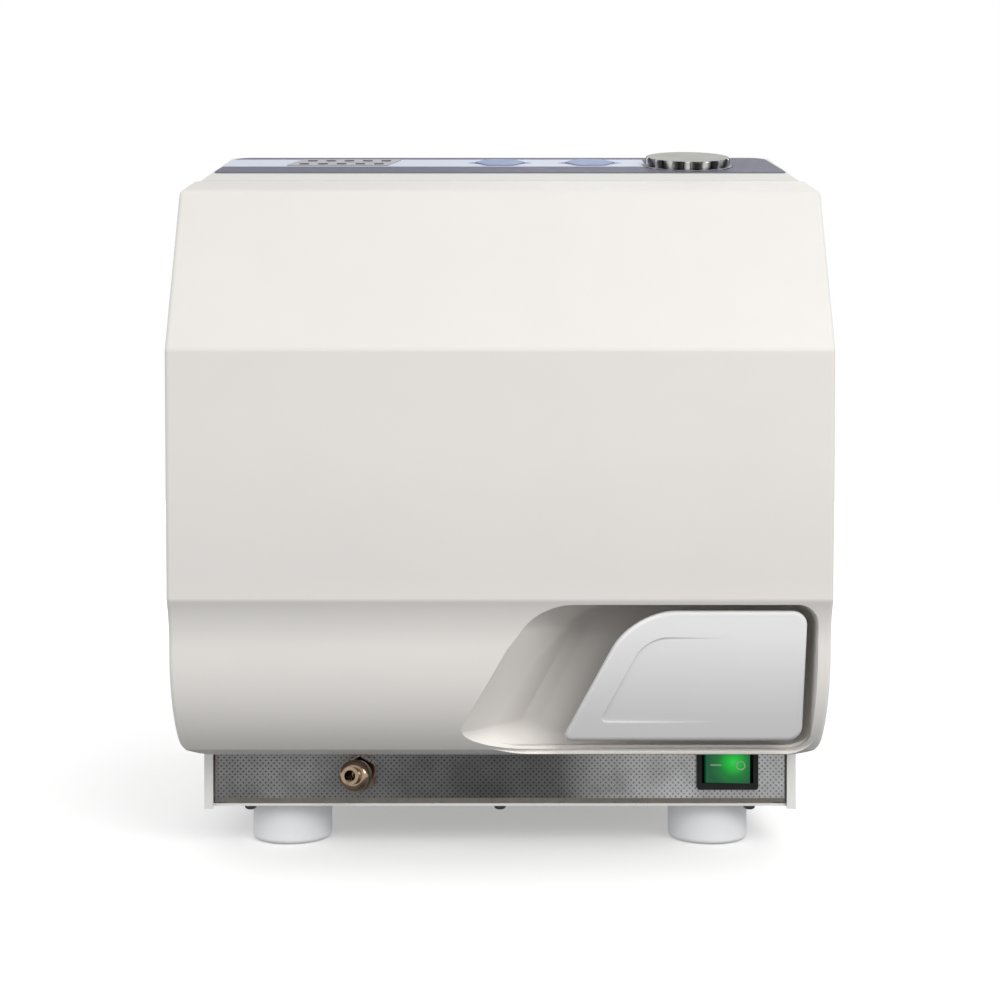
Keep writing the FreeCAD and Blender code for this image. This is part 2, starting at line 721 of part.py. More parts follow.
def switch_bezel():
    rim = prism(rectangle(SWITCH_X - 15.4, SWITCH_X + 15.4, SWITCH_Z - 12.5, SWITCH_Z + 12.5, 1.5),
                in_xz, PANEL_FRONT - 2.2, PANEL_FRONT)
    core = box(SWITCH_X - 13.9, SWITCH_X + 13.9, PANEL_FRONT, PANEL_FRONT + 19, SWITCH_Z - 10.4,
               SWITCH_Z + 10.4)
    well = box(SWITCH_X - 12.9, SWITCH_X + 12.9, PANEL_FRONT - 8, PANEL_FRONT + 14, SWITCH_Z - 9.2,
               SWITCH_Z + 9.2)
    return joined([rim, core]).cut(well)


def rocker():
    """Lit see-saw key with two faces meeting in a shallow valley, pivoting about a vertical axis."""
    y = PANEL_FRONT
    corners = [(SWITCH_X - 11.0, y - 1.8, 0.8), (SWITCH_X, y - 3.2, 0), (SWITCH_X + 11.0, y - 4.4, 0.8),
               (SWITCH_X + 11.0, y + 2.0, 0), (SWITCH_X + 3, y + 9.0, 2), (SWITCH_X - 3, y + 9.0, 2),
               (SWITCH_X - 11.0, y + 2.0, 0)]
    return prism(corners, in_xy, SWITCH_Z - 8.9, SWITCH_Z + 8.9)


# Control head

def housing_profile(inset, low):
    slope = math.radians(PANEL_SLOPE)
    drop = inset / math.cos(slope)
    front = HOUSING_FRONT + inset
    back = HOUSING_BACK - inset
    top = HOUSING_TOP - inset
    front_z = PANEL_Z + (front - PANEL_Y) * math.tan(slope) - drop
    brow_y = PANEL_Y + (HOUSING_TOP - inset - PANEL_Z + drop) / math.tan(slope)
    return [(front, low, 0), (back, low, 0), (back, top - 14, 6), (back - 14, top, 6),
            (brow_y, top, 3), (front, front_z, 0)]


def control_housing():
    half = HOUSING_WIDTH / 2
    outer = prism(housing_profile(0, HOUSING_BOTTOM), in_yz, -half, half)
    long_edges = [edge for edge in outer.Edges
                  if abs(abs(edge.BoundBox.XMin) - half) < 0.01
                  and abs(edge.BoundBox.XMax - edge.BoundBox.XMin) < 0.01
                  and edge.BoundBox.ZMin > HOUSING_BOTTOM + 20]
    outer = outer.makeFillet(2.0, long_edges)
    inner = prism(housing_profile(HOUSING_WALL, HOUSING_BOTTOM - 5), in_yz,
                  -half + HOUSING_WALL, half - HOUSING_WALL)
    shell = outer.cut(inner)
    shell = shell.cut(box(69.5, 136.5, HOUSING_BACK - 5, HOUSING_BACK + 1, 300, 334.5))
    shell = shell.cut(panel_disc(FILLER_X, FILLER_ROW, NECK_RADIUS + 0.05, -8, 8))
    for x in BUTTON_XS:
        shell = shell.cut(on_panel(button_form(x, BUTTON_GAP, -8, 8)))
    return shell


def button_form(x, grow, low, high):
    """Rounded oval button with pointed flanks, in panel coordinates."""
    a, b = BUTTON_HALF_X + grow, BUTTON_HALF_V + grow
    v = BUTTON_ROW
    corners = [(x - a, v, 2.0), (x - a * 0.55, v - b, 5.0), (x + a * 0.55, v - b, 5.0),
               (x + a, v, 2.0), (x + a * 0.55, v + b, 5.0), (x - a * 0.55, v + b, 5.0)]
    return prism(corners, in_xy, low, high)


def button(x):
    return on_panel(button_form(x, 0, -2.5, 1.2))


def control_overlay():
    corners = [(-OVERLAY_HALF, OVERLAY_START, 3), (OVERLAY_HALF, OVERLAY_START, 3),
               (OVERLAY_HALF - 2, OVERLAY_END, 8), (-OVERLAY_HALF + 2, OVERLAY_END, 8)]
    film = prism(corners, in_xy, 0, OVERLAY_THICK)
    film = film.cut(rod((FILLER_X, FILLER_ROW, -1), (0, 0, 1), 24.0, 4))
    for x in BUTTON_XS:
        film = film.cut(button_form(x, BUTTON_GAP, -1, 2))
    return on_panel(film)


def display_window():
    corners = [(-114, 54.5, 1), (-60, 54.5, 1), (-54, 79.5, 1), (-108, 79.5, 1)]
    return on_panel(prism(corners, in_xy, OVERLAY_THICK, OVERLAY_THICK + 0.5))


def indicator_lights():
    lights = []
    for row, v in enumerate((60.5, 73.0)):
        for i in range(5):
            x = -105 + i * 10 + row * 3.0
            lights.append(prism(rectangle(x - 2.6, x + 2.6, v - 1.8, v + 1.8, 1.2), in_xy,
                                OVERLAY_THICK + 0.5, OVERLAY_THICK + 0.9))
    return on_panel(Part.makeCompound(lights))


def control_board():
    board = prism(rectangle(-138, 66, 26, 86, 3), in_xy, -11.6, -10.0)
    chips = [prism(rectangle(x, x + 16, 34, 50, 1), in_xy, -10.0, -7.6) for x in (-130, -96)]
    switches = [prism(rectangle(x - 3, x + 3, BUTTON_ROW - 3, BUTTON_ROW + 3, 0.5), in_xy, -10.0, -4.0)
                for x in BUTTON_XS]
    return on_panel(joined([board] + chips + switches))


def filler_neck():
    flange = rod((FILLER_X, FILLER_ROW, 0), (0, 0, 1), 23.6, 0.8)
    barrel = rod((FILLER_X, FILLER_ROW, -30), (0, 0, 1), NECK_RADIUS, 30)
    bore = rod((FILLER_X, FILLER_ROW, -31), (0, 0, 1), NECK_BORE, 33)
    return on_panel(flange.fuse(barrel).cut(bore))


def filler_plug():
    plug = rod((FILLER_X, FILLER_ROW, -12), (0, 0, 1), NECK_BORE - 0.1, 12.9)
    stud = rod((FILLER_X, FILLER_ROW, 0.9), (0, 0, 1), 4.0, 2.4)
    return on_panel(plug.fuse(stud))


def filler_cap():
    cap = rod((FILLER_X, FILLER_ROW, CAP_LOW), (0, 0, 1), CAP_RADIUS, CAP_HIGH - CAP_LOW)
    cap = cap.makeFillet(0.8, [edge for edge in cap.Edges if edge.BoundBox.ZMin > CAP_HIGH - 0.1])
    for i in range(24):
        angle = 2 * math.pi * i / 24
        start = (FILLER_X + (CAP_RADIUS + 0.9) * math.cos(angle),
                 FILLER_ROW + (CAP_RADIUS + 0.9) * math.sin(angle), CAP_LOW - 1)
        cap = cap.cut(rod(start, (0, 0, 1), 1.8, 8))
    cap = cap.cut(rod((FILLER_X, FILLER_ROW, CAP_LOW - 1), (0, 0, 1), 4.0 + RUNNING, 3.6))
    return on_panel(cap)


# Pressure chamber

def pressure_chamber():
    axis = (0, 1, 0)
    outer = CHAMBER_BORE + CHAMBER_WALL
    tube = ring((0, FLANGE_FRONT, CHAMBER_Z), axis, outer, CHAMBER_BORE, CHAMBER_BACK - FLANGE_FRONT)
    flange = ring((0, FLANGE_FRONT, CHAMBER_Z), axis, FLANGE_RADIUS, CHAMBER_BORE,
                  FLANGE_BACK - FLANGE_FRONT)
    back = rod((0, CHAMBER_BACK - 3, CHAMBER_Z), axis, outer, 3)
    ports = [rod((0, 372, CHAMBER_Z + z), axis, 4, 28) for z in (-60, 60)]
    bores = [rod((0, 360, CHAMBER_Z + z), axis, 2.5, 50) for z in (-60, 60)]
    shell = joined([tube, flange, back] + [port.cut(rod((0, 360, CHAMBER_Z), axis, 90, 23))
                                           for port in ports])
    return shell.cut(Part.makeCompound(bores)).cut(rod((30, 370, CHAMBER_Z), axis, 2.0, 30))


def insulation_jacket():
    return ring((0, 70, CHAMBER_Z), (0, 1, 0), 99, 89, 300)


def heater_band():
    band = ring((0, 150, CHAMBER_Z), (0, 1, 0), 88.8, 87, 150)
    return band.cut(box(-3, 3, 140, 310, CHAMBER_Z - 95, CHAMBER_Z))


def chamber_supports():
    saddles = []
    for y in (120, 320):
        saddle = box(-60, 60, y, y + 3, FOOT_HEIGHT + SHEET, 125)
        foot = box(-60, 60, y, y + 16, FOOT_HEIGHT + SHEET, FOOT_HEIGHT + SHEET + 2)
        saddle = joined([saddle, foot])
        saddles.append(saddle.cut(rod((0, 100, CHAMBER_Z), (0, 1, 0), 99, 300)))
    return Part.makeCompound(saddles)


def chamber_rack():
    pieces = []
    for side in (-1, 1):
        x0, x1 = sorted((side * 60, side * 61.2))
        pieces.append(box(x0, x1, 72, 368, CHAMBER_Z - 48, CHAMBER_Z + 40))
        for low in (-40, 0):
            r0, r1 = sorted((side * 54, side * 60))
            pieces.append(box(r0, r1, 72, 368, CHAMBER_Z + low, CHAMBER_Z + low + 1.2))
    pieces.append(box(-61.2, 61.2, 366.8, 368, CHAMBER_Z - 48, CHAMBER_Z - 30))
    pieces.append(box(-61.2, 61.2, 366.8, 368, CHAMBER_Z + 22, CHAMBER_Z + 40))
    pieces.append(box(-61.2, 61.2, 72, 73.2, CHAMBER_Z - 48, CHAMBER_Z - 42))
    rack = joined(pieces)
    windows = [box(-70, 70, 90 + i * 56, 130 + i * 56, CHAMBER_Z + 8, CHAMBER_Z + 32) for i in range(5)]
    return rack.cut(Part.makeCompound(windows))


def trays():
    solids = []
    for low in (-38.8, 1.2):
        z = CHAMBER_Z + low
        tray = prism(rectangle(-58.5, 58.5, 74.5, 362, 5), in_xy, z, z + 14)
        tray = tray.cut(prism(rectangle(-57.5, 57.5, 75.5, 361, 4.5), in_xy, z + 1.0, z + 20))
        holes = [rod((x, y, z - 1), (0, 0, 1), 3.5, 4)
                 for x in range(-40, 41, 20) for y in range(100, 350, 24)]
        solids.append(tray.cut(Part.makeCompound(holes)))
    return Part.makeCompound(solids)


def temperature_probe():
    stem = rod((30, 366, CHAMBER_Z), (0, 1, 0), 2.0, 34)
    nut = hexagon((30, CHAMBER_BACK, CHAMBER_Z), (0, 1, 0), 12, 6)
    return joined([stem, nut])


# Water and steam

def water_tank():
    main = box(-136, 136, 206, 412, 293, 345)
    bay = box(70, 136, 94, 212, 293, 334)
    room = box(-134, 134, 208, 410, 295, 343).fuse(box(72, 134, 96, 210, 295, 332))
    tank = joined([main, bay]).cut(room)
    mouth = panel_disc(FILLER_X, FILLER_ROW, NECK_RADIUS + 0.1, -40, 0)
    return tank.cut(mouth).cut(rod((-120, 230, 290), (0, 0, 1), 3.0, 6))


def water_pump():
    motor = rod((-112, 150, 52), (0, 1, 0), 17, 46)
    head = box(-130, -94, 196, 222, 34, 70)
    stand = box(-126, -98, 158, 186, FOOT_HEIGHT + SHEET, 40)
    inlet = rod((-112, 222, 58), (0, 1, 0), 4, 10)
    return joined([motor, head, stand, inlet])


def solenoid_valves():
    valves = []
    for x, y in ((-112, 270), (-112, 310), (100, 200)):
        body = box(x - 12, x + 12, y - 10, y + 10, 34, 50)
        coil = rod((x, y, 50), (0, 0, 1), 10, 22)
        stand = rod((x, y, FOOT_HEIGHT + SHEET), (0, 0, 1), 6, 12)
        valves.append(joined([body, coil, stand]))
    return Part.makeCompound(valves)


def fill_pipe():
    """Tank outlet down the left side to the pump's inlet."""
    return pipe([(-120, 230, 292.9), (-120, 230, 270), (-132, 238, 250), (-132, 244, 90),
                 (-132, 244, 58), (-112, 244, 58), (-112, 232.0, 58)], 2.9, 1.9, 3.5)


def drain_pipe():
    """Hose from the drain fitting back to the nearest valve."""
    return pipe([(FITTING_X, PANEL_FRONT + 19.2, FITTING_Z), (FITTING_X, 130, FITTING_Z),
                 (-80, 240, 42), (-80, 270, 42), (-99.8, 270, 42)], 4.0, FITTING_BORE, 6.0)


def condenser_coil():
    """Tube wound four times, with its ends left open."""
    pitch, turns, radius = 8.0, 4, 26.0
    helix = Part.makeHelix(pitch, pitch * turns, radius)
    start = Vector(radius, 0, 0)
    lead = pitch / (2 * math.pi * radius)
    circle = Part.Wire(Part.makeCircle(3.0, start, Vector(0, 1, lead)))
    coil = Part.Wire(helix.Edges).makePipeShell([circle], True, True)
    return placed(coil, (100, 389, 118), (0, 1, 0))


def safety_valve():
    x, z = VALVE
    body = rod((x, 413, z), (0, 1, 0), 7.0, 21.0)
    hex_part = hexagon((x, 420, z), (0, -1, 0), 20, 8)
    bonnet = hexagon((x, REAR_FACE, z), (0, 1, 0), 16, 3)
    valve = joined([body, hex_part, bonnet])
    return valve.cut(rod((x, 425, z), (0, 1, 0), 2.1, 30))


def safety_ring():
    """Pull ring of the safety valve on its spindle."""
    x, z = VALVE
    spindle = rod((x, 426, z), (0, 1, 0), 2.0, 9.2)
    loop = Part.makeTorus(6.0, 1.1, Vector(x, 438.0, z - 6.0), Vector(0, 1, 0))
    eye = box(x - 2.4, x + 2.4, 434.4, 439.6, z - 2.4, z + 2.4)
    return joined([spindle, eye, loop])


def cooling_fan_frame():
    x, z = FAN
    frame = prism(rectangle(x - 30, x + 30, z - 30, z + 30, 3), in_xz,
                  REAR_INNER - 15, REAR_INNER)
    frame = frame.cut(rod((x, 400, z), (0, 1, 0), FAN_BORE, 60))
    hub = rod((x, 425, z), (0, 1, 0), 10, 4.6)
    arms = []
    for side in (-1, 1):
        near, far = sorted((side * 9, side * 29))
        arms.append(box(x + near, x + far, 427, REAR_INNER, z - 2, z + 2))
        arms.append(box(x - 2, x + 2, 427, REAR_INNER, z + near, z + far))
    spindle = rod((x, 417, z), (0, 1, 0), 2.0, 9)
    return joined([frame, hub, spindle] + arms)


def fan_rotor():
    x, z = FAN
    hub = rod((x, 415.5, z), (0, 1, 0), 11, 9.0)
    blades = []
    for i in range(7):
        blade = box(9, 26.5, -0.8, 0.8, 0.6, 8.0)
        blade.rotate(Vector(0, 0, 4), Vector(1, 0, 0), 38)
        blade.rotate(Vector(0, 0, 0), Vector(0, 0, 1), i * 360 / 7)
        blades.append(placed(blade, (x, 415.8, z), (0, 1, 0)))
    rotor = joined([hub] + blades)
    return rotor.cut(rod((x, 400, z), (0, 1, 0), 2.0 + RUNNING, 60))


def mains_inlet():
    x, z = INLET
    flange = prism(rectangle(x - 24.5, x + 24.5, z - 12.5, z + 12.5, 5), in_xz,
                   REAR_FACE, REAR_FACE + 2.8)
    core = box(x - 13.8, x + 13.8, 410, REAR_FACE, z - 10.2, z + 10.2)
    well = prism([(x - 12.2, z - 8.2, 1), (x + 12.2, z - 8.2, 1), (x + 12.2, z + 3.0, 0.5),
                  (x + 6.0, z + 8.2, 0.5), (x - 6.0, z + 8.2, 0.5), (x - 12.2, z + 3.0, 0.5)],
                 in_xz, 414, 440)
    blades = [box(x + dx - 1, x + dx + 1, 412, 429, z + dz - 2, z + dz + 2)
              for dx, dz in ((-7, -2), (0, 2), (7, -2))]
    return joined([joined([flange, core]).cut(well)] + blades)


def fuse_holders():
    holders = []
    for x, z in FUSES:
        rim = rod((x, REAR_FACE, z), (0, 1, 0), 8.0, 2.2)
        cap = rod((x, 433.0, z), (0, 1, 0), 6.2, 4.0)
        slot = box(x - 4, x + 4, 436, 440, z - 0.6, z + 0.6)
        core = rod((x, 405, z), (0, 1, 0), 6.0, 26)
        holders.append(joined([rim, cap, core]).cut(slot))
    return Part.makeCompound(holders)


def transformer():
    core = box(74, 138, 280, 340, 30, 84)
    winding = box(82, 130, 266, 354, 38, 76)
    stand = box(70, 142, 290, 330, FOOT_HEIGHT + SHEET, 30)
    return joined([core, winding, stand])


PARTS = {
    "door_cover": door_cover,
    "door_frame": door_frame,
    "plate_hub": plate_hub,
    "pressure_plate": pressure_plate,
    "door_gasket": door_gasket,
    "door_liner": door_liner,
    "liner_screws": liner_screws,
    "door_hinge_leaves": door_hinge_leaves,
    "body_hinge_leaves": body_hinge_leaves,
    "hinge_pins": hinge_pins,
    "handle_plate": handle_plate,
    "handle_lever": handle_lever,
    "handle_pin": handle_pin,
    "lock_bar": lock_bar,
    "keepers": keepers,
    "base_tray": base_tray,
    "base_front_panel": base_front_panel,
    "body_cover": body_cover,
    "front_frame": front_frame,
    "rear_panel": rear_panel,
    "rear_screws": rear_screws,
    "rear_standoffs": rear_standoffs,
    "base_screws": base_screws,
    "feet": feet,
    "foot_bolts": foot_bolts,
    "drain_fitting": drain_fitting,
    "drain_tail": drain_tail,
    "switch_bezel": switch_bezel,
    "rocker": rocker,
    "control_housing": control_housing,
    "control_overlay": control_overlay,
    "display_window": display_window,
    "indicator_lights": indicator_lights,
    "control_board": control_board,
    "filler_neck": filler_neck,
    "filler_plug": filler_plug,
    "filler_cap": filler_cap,
    "pressure_chamber": pressure_chamber,
    "insulation_jacket": insulation_jacket,
    "heater_band": heater_band,
    "chamber_supports": chamber_supports,
    "chamber_rack": chamber_rack,
    "trays": trays,
    "temperature_probe": temperature_probe,
    "water_tank": water_tank,
    "water_pump": water_pump,
    "solenoid_valves": solenoid_valves,
    "fill_pipe": fill_pipe,
    "drain_pipe": drain_pipe,
    "condenser_coil": condenser_coil,
    "safety_valve": safety_valve,
    "safety_ring": safety_ring,
    "cooling_fan_frame": cooling_fan_frame,
    "fan_rotor": fan_rotor,
    "mains_inlet": mains_inlet,
    "fuse_holders": fuse_holders,
    "transformer": transformer,
    "button_start": lambda: button(BUTTON_XS[0]),
    "button_select": lambda: button(BUTTON_XS[1]),
}


def main():
    os.makedirs("parts", exist_ok=True)
    for name, build in PARTS.items():
        shape = build()
        shape.translate(Vector(0, -DEPTH / 2, 0))
        shape.exportStep(f"parts/{name}.step")
        print(name, len(shape.Solids), shape.isValid(), round(shape.Volume))


main()
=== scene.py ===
import sys
import logging
import math
from dataclasses import dataclass, field
from enum import Enum, IntEnum
from typing import Callable

import bmesh
import bpy
from mathutils import Matrix, Vector


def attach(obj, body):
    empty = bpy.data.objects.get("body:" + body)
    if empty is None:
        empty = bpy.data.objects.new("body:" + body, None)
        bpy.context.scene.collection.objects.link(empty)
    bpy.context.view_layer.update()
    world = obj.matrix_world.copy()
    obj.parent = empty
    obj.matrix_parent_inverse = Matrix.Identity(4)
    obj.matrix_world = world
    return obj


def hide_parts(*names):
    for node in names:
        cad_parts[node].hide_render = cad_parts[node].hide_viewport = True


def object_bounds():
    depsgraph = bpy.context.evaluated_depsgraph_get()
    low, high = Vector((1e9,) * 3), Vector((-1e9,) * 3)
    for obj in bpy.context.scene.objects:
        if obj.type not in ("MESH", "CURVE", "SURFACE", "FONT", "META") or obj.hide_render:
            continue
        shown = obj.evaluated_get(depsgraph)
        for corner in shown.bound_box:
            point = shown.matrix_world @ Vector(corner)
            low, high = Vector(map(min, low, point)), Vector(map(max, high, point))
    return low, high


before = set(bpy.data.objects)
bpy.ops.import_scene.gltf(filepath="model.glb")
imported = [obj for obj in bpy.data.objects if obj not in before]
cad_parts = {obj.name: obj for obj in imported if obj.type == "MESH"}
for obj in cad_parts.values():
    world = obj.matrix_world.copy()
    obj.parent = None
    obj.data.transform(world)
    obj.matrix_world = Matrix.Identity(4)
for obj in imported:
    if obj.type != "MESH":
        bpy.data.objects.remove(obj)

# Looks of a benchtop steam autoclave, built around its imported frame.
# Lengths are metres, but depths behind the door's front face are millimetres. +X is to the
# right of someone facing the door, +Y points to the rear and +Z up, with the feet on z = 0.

CAD_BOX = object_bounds()
FRONT = CAD_BOX[0][1]
MM = 0.001

Triple = tuple[float, float, float]
Pair = tuple[float, float]
Socket = bpy.types.NodeSocket
Test = Callable[[Vector, Vector], bool]

log = logging.getLogger("autoclave")


class Axis(IntEnum):
    """Directions of the frame."""

    ACROSS = 0
    BACK = 1
    UP = 2


class Part(Enum):
    """Parts of a mesh that can be picked in edit mode."""

    VERTICES = "VERT"
    EDGES = "EDGE"
    FACES = "FACE"


class Keep(Enum):
    """What stays of a piece that another one cuts."""

    OUTSIDE = "DIFFERENCE"
    INSIDE = "INTERSECT"


def depth(millimetres: float) -> float:
    """Place along Y of a distance measured back from the door's front face."""
    return FRONT + millimetres * MM


def linear(red: int, green: int, blue: int) -> Triple:
    """Turn an sRGB colour into a linear one.

    Args:
        red: Red from 0 to 255.
        green: Green from 0 to 255.
        blue: Blue from 0 to 255.

    Returns:
        The linear colour.
    """
    def one(step: int) -> float:
        """Linear value of one channel."""
        share = step / 255
        return share / 12.92 if share <= 0.04045 else ((share + 0.055) / 1.055) ** 2.4
    return one(red), one(green), one(blue)


def scaled(colour: Triple, factor: float) -> Triple:
    """A colour made lighter or darker by a factor."""
    return tuple(min(1.0, channel * factor) for channel in colour)


# Finishes

class Shader:
    """Node tree of one material, wired up a node at a time."""

    def __init__(self, name: str) -> None:
        """Start a material with a Principled surface.

        Args:
            name: The material's name.
        """
        self.material = bpy.data.materials.new(name)
        self.material.use_nodes = True
        self.tree = self.material.node_tree
        self.tree.nodes.clear()
        self.surface = self.add("ShaderNodeBsdfPrincipled")
        output = self.add("ShaderNodeOutputMaterial")
        self.link(self.surface.outputs["BSDF"], output.inputs["Surface"])
        self.place = self.add("ShaderNodeTexCoord").outputs["Object"]

    def add(self, kind: str, settings: dict | None = None, **values) -> bpy.types.Node:
        """Add a node.

        Args:
            kind: The node's type name.
            settings: Node properties to set.
            **values: Numbers or colours of the input sockets, with _ for a space.

        Returns:
            The new node.
        """
        node = self.tree.nodes.new(kind)
        for key, value in (settings or {}).items():
            setattr(node, key, value)
        for key, value in values.items():
            node.inputs[key.replace("_", " ")].default_value = value
        return node

    def link(self, source: Socket, target: Socket) -> None:
        """Wire an output socket to an input socket."""
        self.tree.links.new(source, target)

    def set(self, socket: str, value: float | Triple) -> None:
        """Set one of the surface's own sockets to a number or an opaque colour."""
        is_colour = isinstance(value, tuple)
        self.surface.inputs[socket].default_value = (*value, 1.0) if is_colour else value

    def stretched(self, stretch: Triple) -> Socket:
        """Scale the piece's own coordinates, for brushed or drawn patterns.

        Args:
            stretch: The scale along each axis.

        Returns:
            The scaled coordinates' socket.
        """
        mapping = self.add("ShaderNodeMapping")
        mapping.inputs["Scale"].default_value = stretch
        self.link(self.place, mapping.inputs["Vector"])
        return mapping.outputs["Vector"]

    def noise(self, scale: float, detail: float = 2.0, vector: Socket | None = None) -> Socket:
        """Soft noise over the piece.

        Args:
            scale: Lumps per metre.
            detail: Number of finer layers.
            vector: Coordinates to read, the piece's own when left out.

        Returns:
            The noise's value socket.
        """
        node = self.add("ShaderNodeTexNoise", Scale=scale, Detail=detail, Roughness=0.55)
        self.link(vector or self.place, node.inputs["Vector"])
        return node.outputs["Fac"]

    def math(self, operation: str, *terms: float | Socket) -> Socket:
        """Do one arithmetic step.

        Args:
            operation: The step's name.
            *terms: Numbers and sockets to work on.

        Returns:
            The socket of the result.
        """
        node = self.add("ShaderNodeMath", {"operation": operation})
        for slot, term in zip(node.inputs, terms):
            if isinstance(term, Socket):
                self.link(term, slot)
            else:
                slot.default_value = term
        return node.outputs["Value"]

    def spread(self, value: Socket, low: float, high: float, start: float = 0.3,
               end: float = 0.7) -> Socket:
        """Map a value between start and end onto low to high."""
        node = self.add("ShaderNodeMapRange", From_Min=start, From_Max=end, To_Min=low, To_Max=high)
        self.link(value, node.inputs["Value"])
        return node.outputs["Result"]

    def ramp(self, value: Socket, stops: list[tuple[float, Triple]]) -> Socket:
        """Colour a value.

        Args:
            value: The socket to colour.
            stops: Places from 0 to 1 with their colours.

        Returns:
            The colour socket.
        """
        node = self.add("ShaderNodeValToRGB")
        bar = node.color_ramp
        while len(bar.elements) < len(stops):
            bar.elements.new(1.0)
        for element, (place, colour) in zip(bar.elements, stops):
            element.position = place
            element.color = (*colour, 1.0)
        self.link(value, node.inputs["Fac"])
        return node.outputs["Color"]

    def blend(self, share: Socket, first: Socket | Triple, second: Socket | Triple) -> Socket:
        """Mix two colours.

        Args:
            share: How much of the second, from 0 to 1.
            first: A socket or a colour.
            second: A socket or a colour.

        Returns:
            The mixed colour's socket.
        """
        node = self.add("ShaderNodeMix", {"data_type": "RGBA"})
        self.link(share, node.inputs[0])
        for slot, colour in ((node.inputs[6], first), (node.inputs[7], second)):
            if isinstance(colour, Socket):
                self.link(colour, slot)
            else:
                slot.default_value = (*colour, 1.0)
        return node.outputs[2]

    def along(self, axis: Axis) -> Socket:
        """The piece's own coordinate along an axis."""
        split = self.add("ShaderNodeSeparateXYZ")
        self.link(self.place, split.inputs["Vector"])
        return split.outputs[axis]

    def shade(self, axis: Axis, stops: tuple[Pair, ...]) -> None:
        """Paint light and shade into the base colour: multiply it by factors set along one axis.

        Args:
            axis: The axis.
            stops: Places in metres, rising, each with its factor.
        """
        low, high = stops[0][0], stops[-1][0]
        share = self.spread(self.along(axis), 0.0, 1.0, low, high)
        grey = self.ramp(share, [((place - low) / (high - low), (factor,) * 3)
                                 for place, factor in stops])
        mix = self.add("ShaderNodeMix", {"data_type": "RGBA", "blend_type": "MULTIPLY"})
        mix.inputs[0].default_value = 1.0
        colour = self.surface.inputs["Base Color"]
        self.link(colour.links[0].from_socket, mix.inputs[6])
        self.link(grey, mix.inputs[7])
        self.link(mix.outputs[2], colour)

    def bump(self, height: Socket, lift: float) -> None:
        """Raise the surface, on top of any earlier bump.

        Args:
            height: Share of the lift, from 0 to 1.
            lift: The greatest lift in metres.
        """
        node = self.add("ShaderNodeBump", Distance=lift)
        normal = self.surface.inputs["Normal"]
        if normal.is_linked:
            self.link(normal.links[0].from_socket, node.inputs["Normal"])
        self.link(height, node.inputs["Height"])
        self.link(node.outputs["Normal"], normal)


@dataclass(frozen=True)
class Finish:
    """What every finish has: a name, a colour and a gloss, each a little uneven, and any light and
    shade painted into the colour along one axis.
    """

    name: str
    colour: Triple
    roughness: float = 0.5
    uneven: float = 0.03
    patch: float = 30.0
    # Painted light and shade: factors, by place along one axis, that multiply the base colour.
    painted_shading: tuple[Pair, ...] = ()
    painted_shading_axis: Axis = Axis.UP

    def material(self) -> bpy.types.Material:
        """The finish's material, made once and shared."""
        return bpy.data.materials.get(self.name) or self.mixed()

    def mixed(self) -> bpy.types.Material:
        """Build the material.

        Returns:
            The new material.
        """
        shader = Shader(self.name)
        self.tint(shader)
        self.detail(shader)
        # Paint light and shade into the base colour where the finish has them.
        if self.painted_shading:
            shader.shade(self.painted_shading_axis, self.painted_shading)
        return shader.material

    def tint(self, shader: Shader) -> None:
        """Give the surface its colour and gloss, both drifting over the piece.

        Args:
            shader: The material's node tree.
        """
        drift = shader.noise(self.patch)
        pale, deep = scaled(self.colour, 1 + self.uneven), scaled(self.colour, 1 - self.uneven)
        shader.link(shader.ramp(drift, [(0.3, deep), (0.7, pale)]), shader.surface.inputs["Base Color"])
        gloss = shader.noise(self.patch * 5)
        swing = 0.12 * self.roughness
        shader.link(shader.spread(gloss, self.roughness - swing, self.roughness + swing),
                    shader.surface.inputs["Roughness"])

    def detail(self, shader: Shader) -> None:
        """Add what is particular to the finish."""


@dataclass(frozen=True)
class Moulded(Finish):
    """Injection moulded plastic with a fine spark-eroded texture."""

    grain: float = 2200.0
    lift: float = 0.000012
    specular: float = 0.35
    density: float = 1.5

    def detail(self, shader: Shader) -> None:
        """Add the texture's grain and a faint sink over long faces.

        Args:
            shader: The material's node tree.
        """
        shader.set("Specular IOR Level", self.specular)
        shader.set("IOR", self.density)
        shader.bump(shader.noise(self.grain, 3.0), self.lift)
        shader.bump(shader.noise(14.0), 0.00025)


@dataclass(frozen=True)
class PowderCoat(Finish):
    """Baked powder paint with its orange peel."""

    peel: float = 650.0

    def detail(self, shader: Shader) -> None:
        """Add the orange peel under a thin glossy skin.

        Args:
            shader: The material's node tree.
        """
        shader.set("Specular IOR Level", 0.45)
        shader.set("Coat Weight", 0.15)
        shader.set("Coat Roughness", 0.25)
        shader.bump(shader.noise(self.peel, 1.0), 0.00003)
        shader.bump(shader.noise(self.peel * 5, 1.0), 0.000006)


@dataclass(frozen=True)
class Metal(Finish):
    """Bare metal, brushed or drawn along one direction."""

    stretch: Triple = (40.0, 1500.0, 1500.0)
    brushing: float = 0.00001
    anisotropic: float = 0.0
    stain: Triple | None = None

    def detail(self, shader: Shader) -> None:
        """Add the brush marks and any heat stain.

        Args:
            shader: The material's node tree.
        """
        shader.set("Metallic", 1.0)
        shader.set("Anisotropic", self.anisotropic)
        lines = shader.noise(1.0, 2.0, shader.stretched(self.stretch))
        shader.bump(lines, self.brushing)
        if self.stain:
            shade = shader.surface.inputs["Base Color"].links[0].from_socket
            cloud = shader.spread(shader.noise(self.patch * 1.7, 4.0), 0.0, 1.0, 0.5, 0.75)
            shader.link(shader.blend(cloud, shade, self.stain), shader.surface.inputs["Base Color"])


